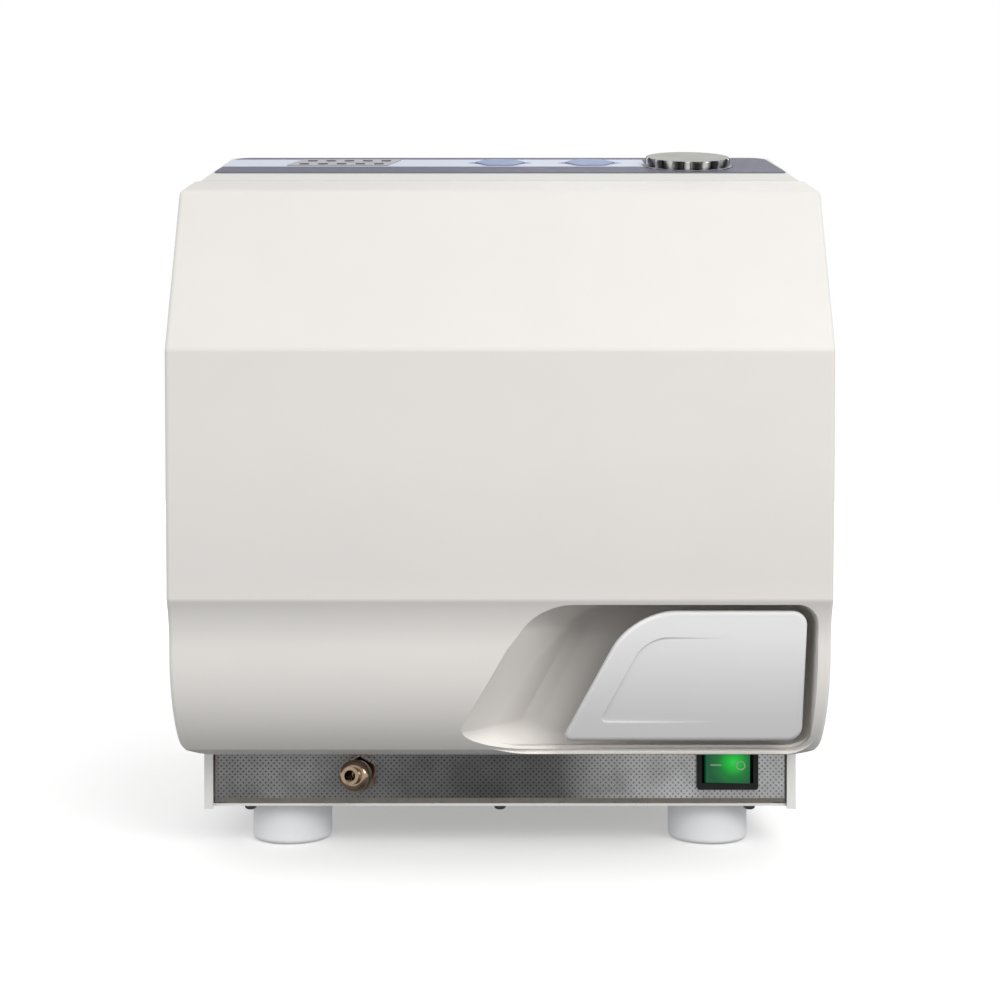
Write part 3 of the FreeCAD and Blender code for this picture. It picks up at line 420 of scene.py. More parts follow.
@dataclass(frozen=True)
class Plated(Finish):
    """Chrome plate with painted reflections: pale and less metallic where it faces up, painted light
    and dark lobes round its sides.
    """

    centre: Pair = (0.1001, depth(113.7))
    lobes: float = 14.0

    def detail(self, shader: Shader) -> None:
        """Paint reflections: colour the surface by the way it faces and by its place round the cap.

        Args:
            shader: The material's node tree.
        """
        split = shader.add("ShaderNodeSeparateXYZ")
        shader.link(shader.add("ShaderNodeTexCoord").outputs["Normal"], split.inputs["Vector"])
        across = shader.math("SUBTRACT", shader.along(Axis.ACROSS), self.centre[0])
        back = shader.math("SUBTRACT", shader.along(Axis.BACK), self.centre[1])
        turn = shader.math("ARCTAN2", back, across)
        wave = shader.math("SINE", shader.math("MULTIPLY", turn, self.lobes))
        # Painted reflections: light and dark lobes round the sides, and a pale, less metallic top.
        sides = shader.ramp(shader.spread(wave, 0.0, 1.0, -1.0, 1.0), [
            (0.0, (0.03,) * 3), (0.45, (0.1,) * 3), (0.7, (0.3,) * 3), (1.0, (0.85,) * 3)])
        facing_up = shader.spread(split.outputs[2], 0.0, 1.0, 0.72, 0.92)
        shader.link(shader.spread(facing_up, 1.0, 0.05, 0.0, 1.0), shader.surface.inputs["Metallic"])
        shader.set("Specular IOR Level", 0.0)
        top = shader.surface.inputs["Base Color"].links[0].from_socket
        shader.link(shader.blend(facing_up, sides, top), shader.surface.inputs["Base Color"])


@dataclass(frozen=True)
class Spangled(Finish):
    """Zinc plated sheet with faint crystals."""

    def detail(self, shader: Shader) -> None:
        """Add the crystals as patches of slightly different brightness.

        Args:
            shader: The material's node tree.
        """
        shader.set("Metallic", 1.0)
        cells = shader.add("ShaderNodeTexVoronoi", Scale=220.0)
        shader.link(shader.place, cells.inputs["Vector"])
        split = shader.add("ShaderNodeSeparateColor")
        shader.link(cells.outputs["Color"], split.inputs["Color"])
        shade = shader.ramp(split.outputs[0], [(0.0, scaled(self.colour, 0.88)), (1.0, self.colour)])
        shader.link(shade, shader.surface.inputs["Base Color"])
        shader.bump(shader.noise(900.0), 0.000008)


@dataclass(frozen=True)
class Rubber(Finish):
    """Silicone or rubber, matt with a soft sheen."""

    soft: float = 0.0

    def detail(self, shader: Shader) -> None:
        """Add dull skin and, for silicone, light passing under it.

        Args:
            shader: The material's node tree.
        """
        shader.set("Specular IOR Level", 0.3)
        shader.set("Sheen Weight", 0.15)
        shader.set("Sheen Roughness", 0.5)
        if self.soft:
            shader.set("Subsurface Weight", self.soft)
            shader.surface.inputs["Subsurface Radius"].default_value = (0.004, 0.002, 0.0015)
            shader.set("Subsurface Scale", 0.3)
        shader.bump(shader.noise(1300.0), 0.00001)


@dataclass(frozen=True)
class GlassyPlastic(Finish):
    """Smooth tinted plastic of a window or a small lens."""

    coat: float = 0.4

    def detail(self, shader: Shader) -> None:
        """Add the smooth coat.

        Args:
            shader: The material's node tree.
        """
        shader.set("Coat Weight", self.coat)
        shader.set("Coat Roughness", 0.06)
        shader.bump(shader.noise(500.0), 0.000004)


@dataclass(frozen=True)
class PrintedFilm(Finish):
    """Control overlay printed in bands that follow the inclined panel."""

    slate: Triple = linear(116, 116, 130)
    band: Triple = linear(206, 212, 226)
    slope: float = math.radians(20.2)
    start: Triple = (0.0, 0.0, 0.0)
    band_rows: Pair = (0.052, 0.082)
    band_end: float = 0.078
    dart: Triple = linear(122, 134, 166)
    dart_centres: Pair = (0.0, 0.0485)
    dart_row: float = 0.067
    dart_half: Pair = (0.018, 0.0125)

    def detail(self, shader: Shader) -> None:
        """Colour the film by the distance up the panel and across it.

        Args:
            shader: The material's node tree.
        """
        across = shader.along(Axis.ACROSS)
        back = shader.math("SUBTRACT", shader.along(Axis.BACK), self.start[Axis.BACK])
        up = shader.math("SUBTRACT", shader.along(Axis.UP), self.start[Axis.UP])
        row = shader.math("ADD", shader.math("MULTIPLY", back, math.cos(self.slope)),
                          shader.math("MULTIPLY", up, math.sin(self.slope)))
        inside = shader.math("MULTIPLY", shader.math("GREATER_THAN", row, self.band_rows[0]),
                             shader.math("LESS_THAN", row, self.band_rows[1]))
        inside = shader.math("MULTIPLY", inside, shader.math("LESS_THAN", across, self.band_end))
        mottle = shader.noise(400.0)
        slate = shader.ramp(mottle, [(0.3, scaled(self.slate, 0.97)), (0.7, self.slate)])
        band = shader.ramp(mottle, [(0.3, scaled(self.band, 0.98)), (0.7, self.band)])
        printed = shader.blend(inside, slate, band)
        for centre in self.dart_centres:
            gaps = [shader.math("DIVIDE", shader.math("ABSOLUTE", shader.math("SUBTRACT", *pair)), half)
                    for pair, half in zip(((across, centre), (row, self.dart_row)), self.dart_half)]
            dart = shader.math("LESS_THAN", shader.math("ADD", *gaps), 1.0)
            printed = shader.blend(dart, printed, self.dart)
        shader.link(printed, shader.surface.inputs["Base Color"])
        shader.set("Specular IOR Level", 0.12)
        shader.set("IOR", 1.1)
        shader.bump(shader.noise(2600.0), 0.000006)


@dataclass(frozen=True)
class LitKey(Finish):
    """Translucent green key with a lamp glowing behind it."""

    lamp: Triple = (0.0, 0.0, 0.0)
    reach: float = 0.013

    def detail(self, shader: Shader) -> None:
        """Fade the glow away from the lamp.

        Args:
            shader: The material's node tree.
        """
        gap = shader.add("ShaderNodeVectorMath", {"operation": "DISTANCE"})
        gap.inputs[1].default_value = self.lamp
        shader.link(shader.place, gap.inputs[0])
        nearness = shader.math("DIVIDE", gap.outputs["Value"], self.reach)
        wavy = shader.math("ADD", nearness, shader.math("MULTIPLY", shader.noise(160.0), 0.12))
        glow = shader.ramp(wavy, [(0.0, linear(60, 255, 96)), (0.3, linear(0, 214, 60)),
                                  (0.62, linear(0, 138, 54)), (1.0, linear(0, 92, 52))])
        shader.link(glow, shader.surface.inputs["Emission Color"])
        shader.set("Emission Strength", 0.62)
        shader.set("Coat Weight", 0.6)
        shader.set("Coat Roughness", 0.12)


@dataclass(frozen=True)
class CircuitBoard(Finish):
    """Green solder mask with copper tracks under it."""

    def detail(self, shader: Shader) -> None:
        """Add the tracks as a brick pattern.

        Args:
            shader: The material's node tree.
        """
        tracks = shader.add("ShaderNodeTexBrick", Scale=160.0, Mortar_Size=0.04)
        tracks.inputs["Color1"].default_value = (*self.colour, 1.0)
        tracks.inputs["Color2"].default_value = (*scaled(self.colour, 0.8), 1.0)
        tracks.inputs["Mortar"].default_value = (*scaled(self.colour, 1.9), 1.0)
        shader.link(shader.place, tracks.inputs["Vector"])
        shader.link(tracks.outputs["Color"], shader.surface.inputs["Base Color"])
        shader.set("Coat Weight", 0.5)


@dataclass(frozen=True)
class Wool(Finish):
    """Pressed mineral wool, fibrous and matt."""

    def detail(self, shader: Shader) -> None:
        """Add long fibres over broad lumps.

        Args:
            shader: The material's node tree.
        """
        shader.set("Specular IOR Level", 0.1)
        shader.bump(shader.noise(1.0, 4.0, shader.stretched((300.0, 1800.0, 300.0))), 0.0003)
        shader.bump(shader.noise(90.0), 0.0008)


# Painted light and shade by height on the door: lighter towards the bottom of the chin, a little darker
# from the ledge up the lower upright face and on the sloping front, and darker on the brow strip at the
# top.
WARM_WHITE = Moulded("warm white moulding", linear(232, 229, 225), 0.5, 0.008,
                     painted_shading=((0.05, 1.22), (0.062, 1.14), (0.09, 1.09), (0.108, 1.0), (0.128, 0.98),
                              (0.14, 0.95), (0.2, 1.0), (0.26, 0.985), (0.321, 0.97), (0.325, 0.88),
                              (0.335, 0.88)))
# Painted shade in the handle scoop: a copy of the white moulding, lighter on the walls and darker
# towards the deep floor, by depth.
SCOOP_PAINTED_SHADE = Moulded("scoop moulding with painted shade", linear(238, 234, 229), 0.5, 0.008, painted_shading_axis=Axis.BACK,
                  painted_shading=((depth(8), 1.0), (depth(34), 1.08), (depth(42), 0.86), (depth(45), 0.7)))
# Painted light and shade on the handle plate: lighter at its top and darker towards its bottom.
COOL_WHITE = Moulded("cool white moulding", linear(243, 243, 244), 0.42, 0.006,
                     painted_shading=((0.062, 0.7), (0.075, 0.75), (0.1, 0.94), (0.115, 1.06), (0.125, 1.1)))
PALE = Moulded("pale moulding", linear(218, 218, 214), 0.75, 0.008, specular=0.1, density=1.12)
DARK = Moulded("dark grey moulding", linear(62, 63, 66), 0.5, 0.05)
BLACK = Moulded("black moulding", linear(26, 26, 29), 0.42, 0.05)
FOOT = Moulded("foot moulding", linear(251, 252, 254), 0.55, 0.01, lift=0.00002)
PAINT = PowderCoat("white powder coat", linear(238, 238, 235), 0.42, 0.008)
ZINC = Spangled("zinc plated sheet", linear(176, 176, 174), 0.34, 0.04)
BRIGHT_STEEL = Metal("bright steel", linear(206, 206, 208), 0.2, 0.03, 60.0)
DARK_STEEL = Metal("blackened steel", linear(112, 112, 114), 0.32, 0.08, 120.0)
STAINLESS = Metal("brushed stainless", linear(200, 200, 200), 0.28, 0.03, 40.0, anisotropic=0.4,
                  stain=linear(182, 178, 172))
# Painted reflections on the dimpled sheet: factors that lighten and darken it in bands across its
# width.
SHEET_PAINTED_REFLECTION = ((-0.143, 0.6), (-0.1, 0.66), (-0.05, 0.4), (0.0, 0.26), (0.03, 0.36),
                 (0.055, 1.05), (0.085, 1.5), (0.1, 1.3), (0.143, 1.3))
SHEET_STEEL = Metal("dimpled stainless sheet", linear(205, 205, 206), 0.3, 0.2, 40.0,
                    painted_shading=SHEET_PAINTED_REFLECTION, painted_shading_axis=Axis.ACROSS)
FLANGE_STEEL = Metal("folded stainless edge", linear(158, 152, 145), 0.3, 0.06, 60.0)
# Painted shade in the dimples: their floors are darker than the sheet, with the same painted reflection
# bands.
DIMPLE_PAINTED_SHADE = Metal("dimple floor painted shade", linear(118, 118, 121), 0.3, 0.1, 60.0,
                      painted_shading=SHEET_PAINTED_REFLECTION, painted_shading_axis=Axis.ACROSS)
NICKEL_BRASS = Metal("nickelled brass", linear(164, 144, 122), 0.12, 0.06, 90.0,
                     stain=linear(104, 86, 70))
COPPER = Metal("copper pipe", linear(196, 118, 84), 0.26, 0.05, 70.0, stain=linear(120, 72, 58))
# Chrome with painted reflections round the cap and a painted pale top.
CHROME = Plated("chrome plate", linear(172, 172, 168), 0.22, 0.06, 80.0)
SILICONE = Rubber("door seal silicone", linear(222, 219, 212), 0.5, 0.02, soft=0.4)
BLACK_RUBBER = Rubber("black rubber", linear(30, 30, 31), 0.75, 0.06)
KEY_BLUE = Moulded("key blue", linear(138, 150, 184), 0.4, 0.03, density=1.15)
WINDOW = GlassyPlastic("window grey", linear(150, 151, 158), 0.3, 0.03, coat=0.1)
LENS = GlassyPlastic("lamp lens", linear(64, 62, 74), 0.25, 0.1)
BOARD = CircuitBoard("circuit board", linear(28, 84, 52), 0.4)
WOOL = Wool("mineral wool", linear(208, 202, 186), 0.95, 0.08, 60.0)
LEGEND = Moulded("legend print", linear(196, 224, 190), 0.6, 0.02)


def dress(finish: Finish, *nodes: str) -> None:
    """Put a finish on CAD nodes.

    Args:
        finish: The finish to use.
        *nodes: Names of the nodes.
    """
    for node in nodes:
        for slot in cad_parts[node].material_slots:
            slot.material = finish.material()
    log.info("dressed %s: %s", finish.name, ", ".join(nodes))


# Modelling

class Piece:
    """A mesh on the bench, shaped in edit mode by operators."""

    def __init__(self, name: str) -> None:
        """Take up the object that was just added.

        Args:
            name: The piece's name.
        """
        self.object = bpy.context.view_layer.objects.active
        self.object.name = name
        self.object.data.name = name
        bpy.ops.object.transform_apply(location=True, rotation=True, scale=True)

    @classmethod
    def block(cls, name: str, low: Triple, high: Triple) -> "Piece":
        """Add a box.

        Args:
            name: The piece's name.
            low: Its lower, left, front corner.
            high: The corner across from that.

        Returns:
            The box.
        """
        bpy.ops.object.select_all(action="DESELECT")
        low, high = Vector(low), Vector(high)
        bpy.ops.mesh.primitive_cube_add(size=1.0, location=(low + high) / 2)
        bpy.context.view_layer.objects.active.scale = high - low
        return cls(name)

    @classmethod
    def rod(cls, name: str, centre: Triple, radius: float, length: float, sides: int = 48,
            turn: Triple = (0.0, 0.0, 0.0)) -> "Piece":
        """Add a round bar, along Z before its turn.

        Args:
            name: The piece's name.
            centre: Its centre.
            radius: Its radius.
            length: Its length.
            sides: Number of facets round it.
            turn: Its turn about X, Y and Z.

        Returns:
            The bar.
        """
        bpy.ops.object.select_all(action="DESELECT")
        bpy.ops.mesh.primitive_cylinder_add(vertices=sides, radius=radius, depth=length,
                                            location=centre, rotation=turn)
        return cls(name)

    @classmethod
    def sheet(cls, name: str, centre: Triple, width: float, height: float) -> "Piece":
        """Add a flat rectangle that stands upright and faces the front.

        Args:
            name: The piece's name.
            centre: Its centre.
            width: Its width.
            height: Its height.

        Returns:
            The rectangle.
        """
        bpy.ops.object.select_all(action="DESELECT")
        bpy.ops.mesh.primitive_plane_add(size=1.0, location=centre, rotation=(math.pi / 2, 0, 0))
        bpy.context.view_layer.objects.active.scale = (width, height, 1.0)
        return cls(name)

    def edit(self, part: Part = Part.FACES) -> None:
        """Go into edit mode with nothing selected.

        Args:
            part: What will be picked.
        """
        self.take()
        bpy.ops.object.mode_set(mode="EDIT")
        bpy.ops.mesh.select_mode(type=part.value)
        bpy.ops.mesh.select_all(action="DESELECT")

    def take(self) -> None:
        """Make this the only selected object."""
        bpy.ops.object.select_all(action="DESELECT")
        bpy.context.view_layer.objects.active = self.object
        self.object.select_set(True)

    def done(self) -> None:
        """Leave edit mode."""
        bpy.ops.object.mode_set(mode="OBJECT")

    def pick(self, part: Part, passes: Callable[[bmesh.types.BMVert], bool]) -> None:
        """Start editing with some of the mesh selected.

        Args:
            part: What to pick.
            passes: Test of one vertex, edge or face.
        """
        self.edit(part)
        mesh = bmesh.from_edit_mesh(self.object.data)
        every = {Part.VERTICES: mesh.verts, Part.EDGES: mesh.edges, Part.FACES: mesh.faces}
        for one in [one for one in every[part] if passes(one)]:
            one.select_set(True)
        bmesh.update_edit_mesh(self.object.data)

    def vertices(self, test: Test) -> None:
        """Pick the vertices whose place and normal pass a test."""
        self.pick(Part.VERTICES, lambda vertex: test(vertex.co, vertex.normal))

    def faces(self, test: Test) -> None:
        """Pick the faces whose middle and normal pass a test."""
        self.pick(Part.FACES, lambda face: test(face.calc_center_median(), face.normal))

    def edges(self, test: Test, reach: float = 0.0) -> None:
        """Pick edges by their middle and direction.

        Args:
            test: Test of an edge's middle and direction.
            reach: Angle in degrees that the edge has to be sharper than, 0 for any edge.
        """
        def passes(edge: bmesh.types.BMEdge) -> bool:
            """Whether an edge is sharp enough and in the right place."""
            first, second = (vertex.co for vertex in edge.verts)
            sharp = not reach or edge.calc_face_angle(0.0) > math.radians(reach)
            return sharp and test((first + second) / 2, (second - first).normalized())
        self.pick(Part.EDGES, passes)

    def round_corner(self, x: float, z: float, radius: float) -> None:
        """Round the edge that runs to the rear at one place of an outline."""
        self.edges(lambda middle, way: abs(way.y) > 0.35
                   and math.hypot(middle.x - x, middle.z - z) < 0.0005)
        self.bevel(radius, 12)

    def bevel(self, width: float, segments: int = 3, profile: float = 0.5,
              vertices: bool = False) -> None:
        """Round off what is selected and leave edit mode.

        Args:
            width: How far the rounding reaches.
            segments: Number of facets.
            profile: Fullness of the rounding, 0.5 for a round one.
            vertices: Whether corners are rounded in place of edges.
        """
        bpy.ops.mesh.bevel(offset=width, segments=segments, profile=profile,
                           affect="VERTICES" if vertices else "EDGES", clamp_overlap=True)
        self.done()

    def bisect(self, point: Triple, normal: Triple, fill: bool = True) -> None:
        """Cut the whole piece with a plane.

        Args:
            point: A place on the plane.
            normal: The way to the side that is dropped.
            fill: Whether the cut is closed.
        """
        self.edit()
        bpy.ops.mesh.select_all(action="SELECT")
        bpy.ops.mesh.bisect(plane_co=point, plane_no=normal, use_fill=fill, clear_outer=True)
        self.done()

    def apply(self, kind: str, **settings) -> None:
        """Add a modifier and apply it.

        Args:
            kind: The modifier's type name.
            **settings: Its settings.
        """
        self.take()
        modifier = self.object.modifiers.new(kind.title(), kind)
        for key, value in settings.items():
            setattr(modifier, key, value)
        bpy.ops.object.modifier_apply(modifier=modifier.name)

    def cut(self, cutter: "Piece", keep: Keep = Keep.OUTSIDE) -> None:
        """Cut the piece with another one and use that one up."""
        self.apply("BOOLEAN", operation=keep.value, solver="EXACT", object=cutter.object)
        bpy.data.objects.remove(cutter.object)

    def delete(self, kind: str) -> None:
        """Delete what is selected and leave edit mode."""
        bpy.ops.mesh.delete(type=kind)
        self.done()

    def repeat(self, count: int, step: Triple, weld: bool = False) -> None:
        """Copy the piece in a row.

        Args:
            count: Number of copies with the first one.
            step: Way from each copy to the next.
            weld: Whether neighbours share their vertices.
        """
        self.apply("ARRAY", count=count, use_relative_offset=False, use_constant_offset=True,
                   constant_offset_displace=step, use_merge_vertices=weld, merge_threshold=1e-5)

    def move(self, matrix: Matrix) -> None:
        """Carry the mesh by a matrix."""
        self.object.data.transform(matrix)

    def merge(self, distance: float = 1e-6) -> None:
        """Weld vertices that share a place and turn all faces outwards.

        Args:
            distance: How far apart the same vertex may be.
        """
        self.edit(Part.VERTICES)
        bpy.ops.mesh.select_all(action="SELECT")
        bpy.ops.mesh.remove_doubles(threshold=distance)
        bpy.ops.mesh.normals_make_consistent(inside=False)
        self.done()

    def finish(self, finish: Finish, body: str, slot: str, angle: float = 35.0) -> None:
        """Smooth the piece, dress it, and hang it on its body.

        Args:
            finish: The finish of the whole piece.
            body: The body it moves with.
            slot: The record's material slot that it stands for; not used.
            angle: Edges sharper than this many degrees stay sharp.
        """
        self.take()
        bpy.ops.object.shade_smooth_by_angle(angle=math.radians(angle))
        self.apply("WEIGHTED_NORMAL", keep_sharp=True)
        self.object.data.materials.clear()
        self.object.data.materials.append(finish.material())
        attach(self.object, body)
        log.info("%s: %d faces, on %s", self.object.name, len(self.object.data.polygons), body)

    def pull(self, spot: Triple, target: Triple) -> None:
        """Move a vertex.

        Args:
            spot: Where it is.
            target: Where it goes.
        """
        self.vertices(lambda place, _: (place - Vector(spot)).length < 1e-5)
        bpy.ops.transform.translate(value=Vector(target) - Vector(spot))
        self.done()

    def paint(self, finish: Finish, test: Test) -> None:
        """Give some of the faces a finish of their own.

        Args:
            finish: The finish.
            test: Test of a face's middle and normal.
        """
        self.object.data.materials.append(finish.material())
        index = len(self.object.data.materials) - 1
        for face in self.object.data.polygons:
            if test(face.center, face.normal):
                face.material_index = index


# Sub-assemblies

class Assembly:
    """What every sub-assembly can do."""

    def build(self) -> None:
        """Build the sub-assembly's own pieces, if it has any."""

    def dress(self) -> None:
        """Finish the sub-assembly's CAD nodes."""


@dataclass
class Handle(Assembly):
    """Pull handle: a leaning plate with a soft rim and a shallow field, on a steel lever."""

    low: float = 0.0622
    high: float = 0.1245
    left_low: float = 0.0288
    left_high: float = 0.0613
    right: float = 0.1421
    thickness: float = 0.004
    top_depth: float = 8.0
    low_depth: float = 22.0
    rim: float = 0.0034
    field_x: Pair = (0.0462, 0.1262)
    field_z: Pair = (0.0712, 0.1122)
    field_step: float = 0.0012
    field_reach: float = 0.01
    field_corners: tuple[float, ...] = (0.004, 0.006, 0.006, 0.010)
    corners: dict = field(default_factory=lambda: {
        (0.0288, 0.0622): 0.005, (0.1421, 0.0622): 0.007,
        (0.1421, 0.1245): 0.007, (0.0613, 0.1245): 0.020})

    def build(self) -> None:
        """Build the plate upright and flat, then lean it into its place."""
        plate = Piece.block("handle_shell", (self.left_low, 0.0, self.low),
                            (self.right, self.thickness, self.high))
        run, rise = self.left_high - self.left_low, self.high - self.low
        plate.bisect((self.left_low, 0.0, self.low), (-rise, 0.0, run))
        for (x, z), radius in self.corners.items():
            plate.round_corner(x, z, radius)
        plate.edges(lambda middle, way: middle.y < 1e-5 and abs(way.y) < 0.01)
        plate.bevel(self.rim, 6, 0.55)
        self.press_field(plate)
        lean = (self.low_depth - self.top_depth) * MM / rise
        shear = Matrix.Identity(4)
        shear[1][2] = -lean
        shear[1][3] = depth(self.top_depth) + lean * self.high
        plate.move(shear)
        # The plate's finish carries painted light and shade, lighter at the top and darker at the
        # bottom.
        plate.finish(COOL_WHITE, "handle", "cool_white_plastic", 50.0)
        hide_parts("handle_plate")

    def press_field(self, plate: Piece) -> None:
        """Press the shallow field, deepest at its left end and flush at its right.

        Args:
            plate: The flat plate.
        """
        (x0, x1), (z0, z1) = self.field_x, self.field_z
        top_x = x0 + (z1 - z0) * (self.left_high - self.left_low) / (self.high - self.low)
        die = Piece.block("field_die", (x0, -self.field_reach, z0), (x1, self.field_step, z1))
        die.bisect((x0, 0.0, z0), (z0 - z1, 0.0, top_x - x0))
        for (x, z), radius in zip(((x0, z0), (x1, z0), (x1, z1), (top_x, z1)), self.field_corners):
            die.round_corner(x, z, radius)
        die.edges(lambda middle, way: middle.y > self.field_step - 1e-5 and abs(way.y) < 0.01)
        die.bevel(self.field_step * 0.9, 4)
        tilt = self.field_step * 1.1 / (x1 - x0)
        slide = Matrix.Identity(4)
        slide[1][0] = -tilt
        slide[1][3] = tilt * x0
        die.move(slide)
        plate.cut(die)

    def dress(self) -> None:
        """Finish the lever and its pin."""
        dress(ZINC, "handle_lever")
        dress(BRIGHT_STEEL, "handle_pin")


@dataclass
class DoorShell(Assembly):
    """Moulded door cover: brow, sloping front, upright face, cove, rolled chin and handle scoop."""

    half: float = 0.153
    rear: float = 62.0
    bottom: float = 0.051
    rest: float = 50.0
    chin_centre: Pair = (72.9, 0.107)
    chin_radius: float = 0.064
    chin_turn: float = 53.0
    ledge: Pair = (3.2, 0.1297)
    cove_bulge: Pair = (7.54, 0.11835)
    crease: Pair = (0.0, 0.244)
    brow: Pair = (31.0, 0.323)
    top: Pair = (62.0, 0.3344)
    edge: float = 0.0024
    wall: float = 0.0026
    scoop_front: tuple = ((-0.026, 0.0553, 0.012), (0.1467, 0.0553, 0.010),
                          (0.1467, 0.1277, 0.010), (0.0152, 0.1277, 0.014))
    scoop_lean: float = 0.33
    scoop_floor: tuple = ((0.0087, 0.0585), (0.1467, 0.0585), (0.1467, 0.1262), (0.0447, 0.1262))
    scoop_start: float = 2.0
    floor: float = 45.0
    scoop_round: float = 0.009
    rim: float = 0.0012
    pivot: Pair = (0.108, 24.0)
    lug_rows: Pair = (0.094, 0.114)
    lug_thick: float = 0.004
    lug_radius: float = 0.0045
    pin_hole: float = 0.00205
    slot_x: Pair = (0.0895, 0.112)
    slot_z: Pair = (0.0985, 0.1115)
    corner_low: float = 0.013
    corner_top: float = 0.005

    def build(self) -> None:
        """Sweep the front, close its sides, scoop out the handle's place and hollow the back."""
        shell = self.swept_front()
        self.soften(shell)
        outline = Piece.block("door_outline", (-self.half, depth(-5.0), self.bottom),
                              (self.half, depth(self.rear), self.top[1]))
        for height, radius in ((self.bottom, self.corner_low), (self.top[1], self.corner_top)):
            outline.edges(lambda middle, way: abs(way.y) > 0.99 and abs(middle.z - height) < 1e-4)
            outline.bevel(radius, 10)
        shell.cut(outline, Keep.INSIDE)
        shell.cut(self.scoop())
        self.round_rim(shell)
        shell.faces(lambda middle, normal: normal.y > 0.99 and middle.y > depth(self.rear - 0.5))
        shell.delete("FACE")
        shell.apply("SOLIDIFY", thickness=self.wall, offset=-1.0, use_even_offset=False)
        shell.cut(Piece.block("lever_slot", (self.slot_x[0], depth(self.floor - 3.0), self.slot_z[0]),
                              (self.slot_x[1], depth(self.floor + 5.0), self.slot_z[1])))
        shell.finish(WARM_WHITE, "door", "warm_white_plastic", 32.0)
        # Painted shade: the scoop's walls and floor get the white moulding darkened towards the floor.
        shell.paint(SCOOP_PAINTED_SHADE, self.in_scoop)
        lugs = self.lugs()
        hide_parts("door_cover")
        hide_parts("door_cover")

    def swept_front(self) -> Piece:
        """Extrude and spin one long edge along the door's side outline.

        Returns:
            The closed block of the door.
        """
        shell = Piece.sheet("door_shell", (0.0, depth(self.rear), self.bottom + 0.005),
                            2 * self.half, 0.01)
        shell.faces(lambda *_: True)
        shell.delete("ONLY_FACE")
        shell.vertices(lambda spot, _: spot.z > self.bottom + 0.001)
        shell.delete("VERT")
        shell.edges(lambda *_: True)
        here = (self.rear, self.bottom)
        turn = math.radians(self.chin_turn)
        chin_end = (self.chin_centre[0] - self.chin_radius / MM * math.cos(turn),
                    self.chin_centre[1] - self.chin_radius * math.sin(turn))
        chin_start = (self.chin_centre[0] - self.chin_radius / MM, self.chin_centre[1])
        for there in ((self.rest, self.bottom), chin_end):
            self.run(here, there)
            here = there
        self.arc(self.chin_centre, here, chin_start, 14)
        self.arc(self.centre_of(chin_start, self.cove_bulge, self.ledge), chin_start, self.ledge, 12)
        here = self.ledge
        for there in (self.crease, self.brow, self.top, (self.rear, self.bottom)):
            self.run(here, there)
            here = there
        shell.done()
        shell.merge(1e-5)
        for side in (-1, 1):
            shell.edges(lambda middle, way: abs(middle.x - side * self.half) < 1e-5)
            bpy.ops.mesh.edge_face_add()
            shell.done()
        shell.merge(1e-5)
        return shell

    def run(self, here: Pair, there: Pair) -> None:
        """Extrude the selected edge straight from one place of the outline to another."""
        step = (0.0, (there[0] - here[0]) * MM, there[1] - here[1])
        bpy.ops.mesh.extrude_edges_move(TRANSFORM_OT_translate={"value": step})

    def centre_of(self, first: Pair, middle: Pair, last: Pair) -> Pair:
        """Find the centre of a circle through three places of the outline.

        Args:
            first: One place, as depth in millimetres and height.
            middle: Another place.
            last: A third place.

        Returns:
            The centre.
        """
        (ax, ay), (bx, by), (cx, cy) = ((y * MM, z) for y, z in (first, middle, last))
        scale = 2 * (ax * (by - cy) + bx * (cy - ay) + cx * (ay - by))
        a, b, c = ax * ax + ay * ay, bx * bx + by * by, cx * cx + cy * cy
        y = (a * (by - cy) + b * (cy - ay) + c * (ay - by)) / scale
        z = (a * (cx - bx) + b * (ax - cx) + c * (bx - ax)) / scale
        return y / MM, z

    def arc(self, centre: Pair, here: Pair, there: Pair, steps: int) -> None:
        """Spin the selected edge about a centre from one place of the outline to another.

        Args:
            centre: The arc's centre, as depth in millimetres and height.
            here: Where the edge is.
            there: Where the arc ends.
            steps: Number of facets.
        """
        start = math.atan2(here[1] - centre[1], (here[0] - centre[0]) * MM)
        end = math.atan2(there[1] - centre[1], (there[0] - centre[0]) * MM)
        sweep = (end - start + math.pi) % (2 * math.pi) - math.pi
        bpy.ops.mesh.spin(steps=steps, angle=-sweep, axis=(1.0, 0.0, 0.0),
                          center=(0.0, depth(centre[0]), centre[1]))

    def soften(self, shell: Piece) -> None:
        """Round the crease, the brow and the ledge, then the long side edges.

        Args:
            shell: The door's block.
        """
        for (back, height), radius in ((self.crease, 0.0012), (self.brow, 0.002),
                                       (self.ledge, 0.0009)):
            shell.edges(lambda middle, way: abs(way.x) > 0.99 and abs(middle.z - height) < 1e-5
                        and abs(middle.y - depth(back)) < 1e-5)
            shell.bevel(radius, 4)
        limit = depth(self.rear) - 1e-4
        shell.edges(lambda middle, _: abs(abs(middle.x) - self.half) < 1e-5 and middle.y < limit)
        shell.bevel(self.edge, 4)

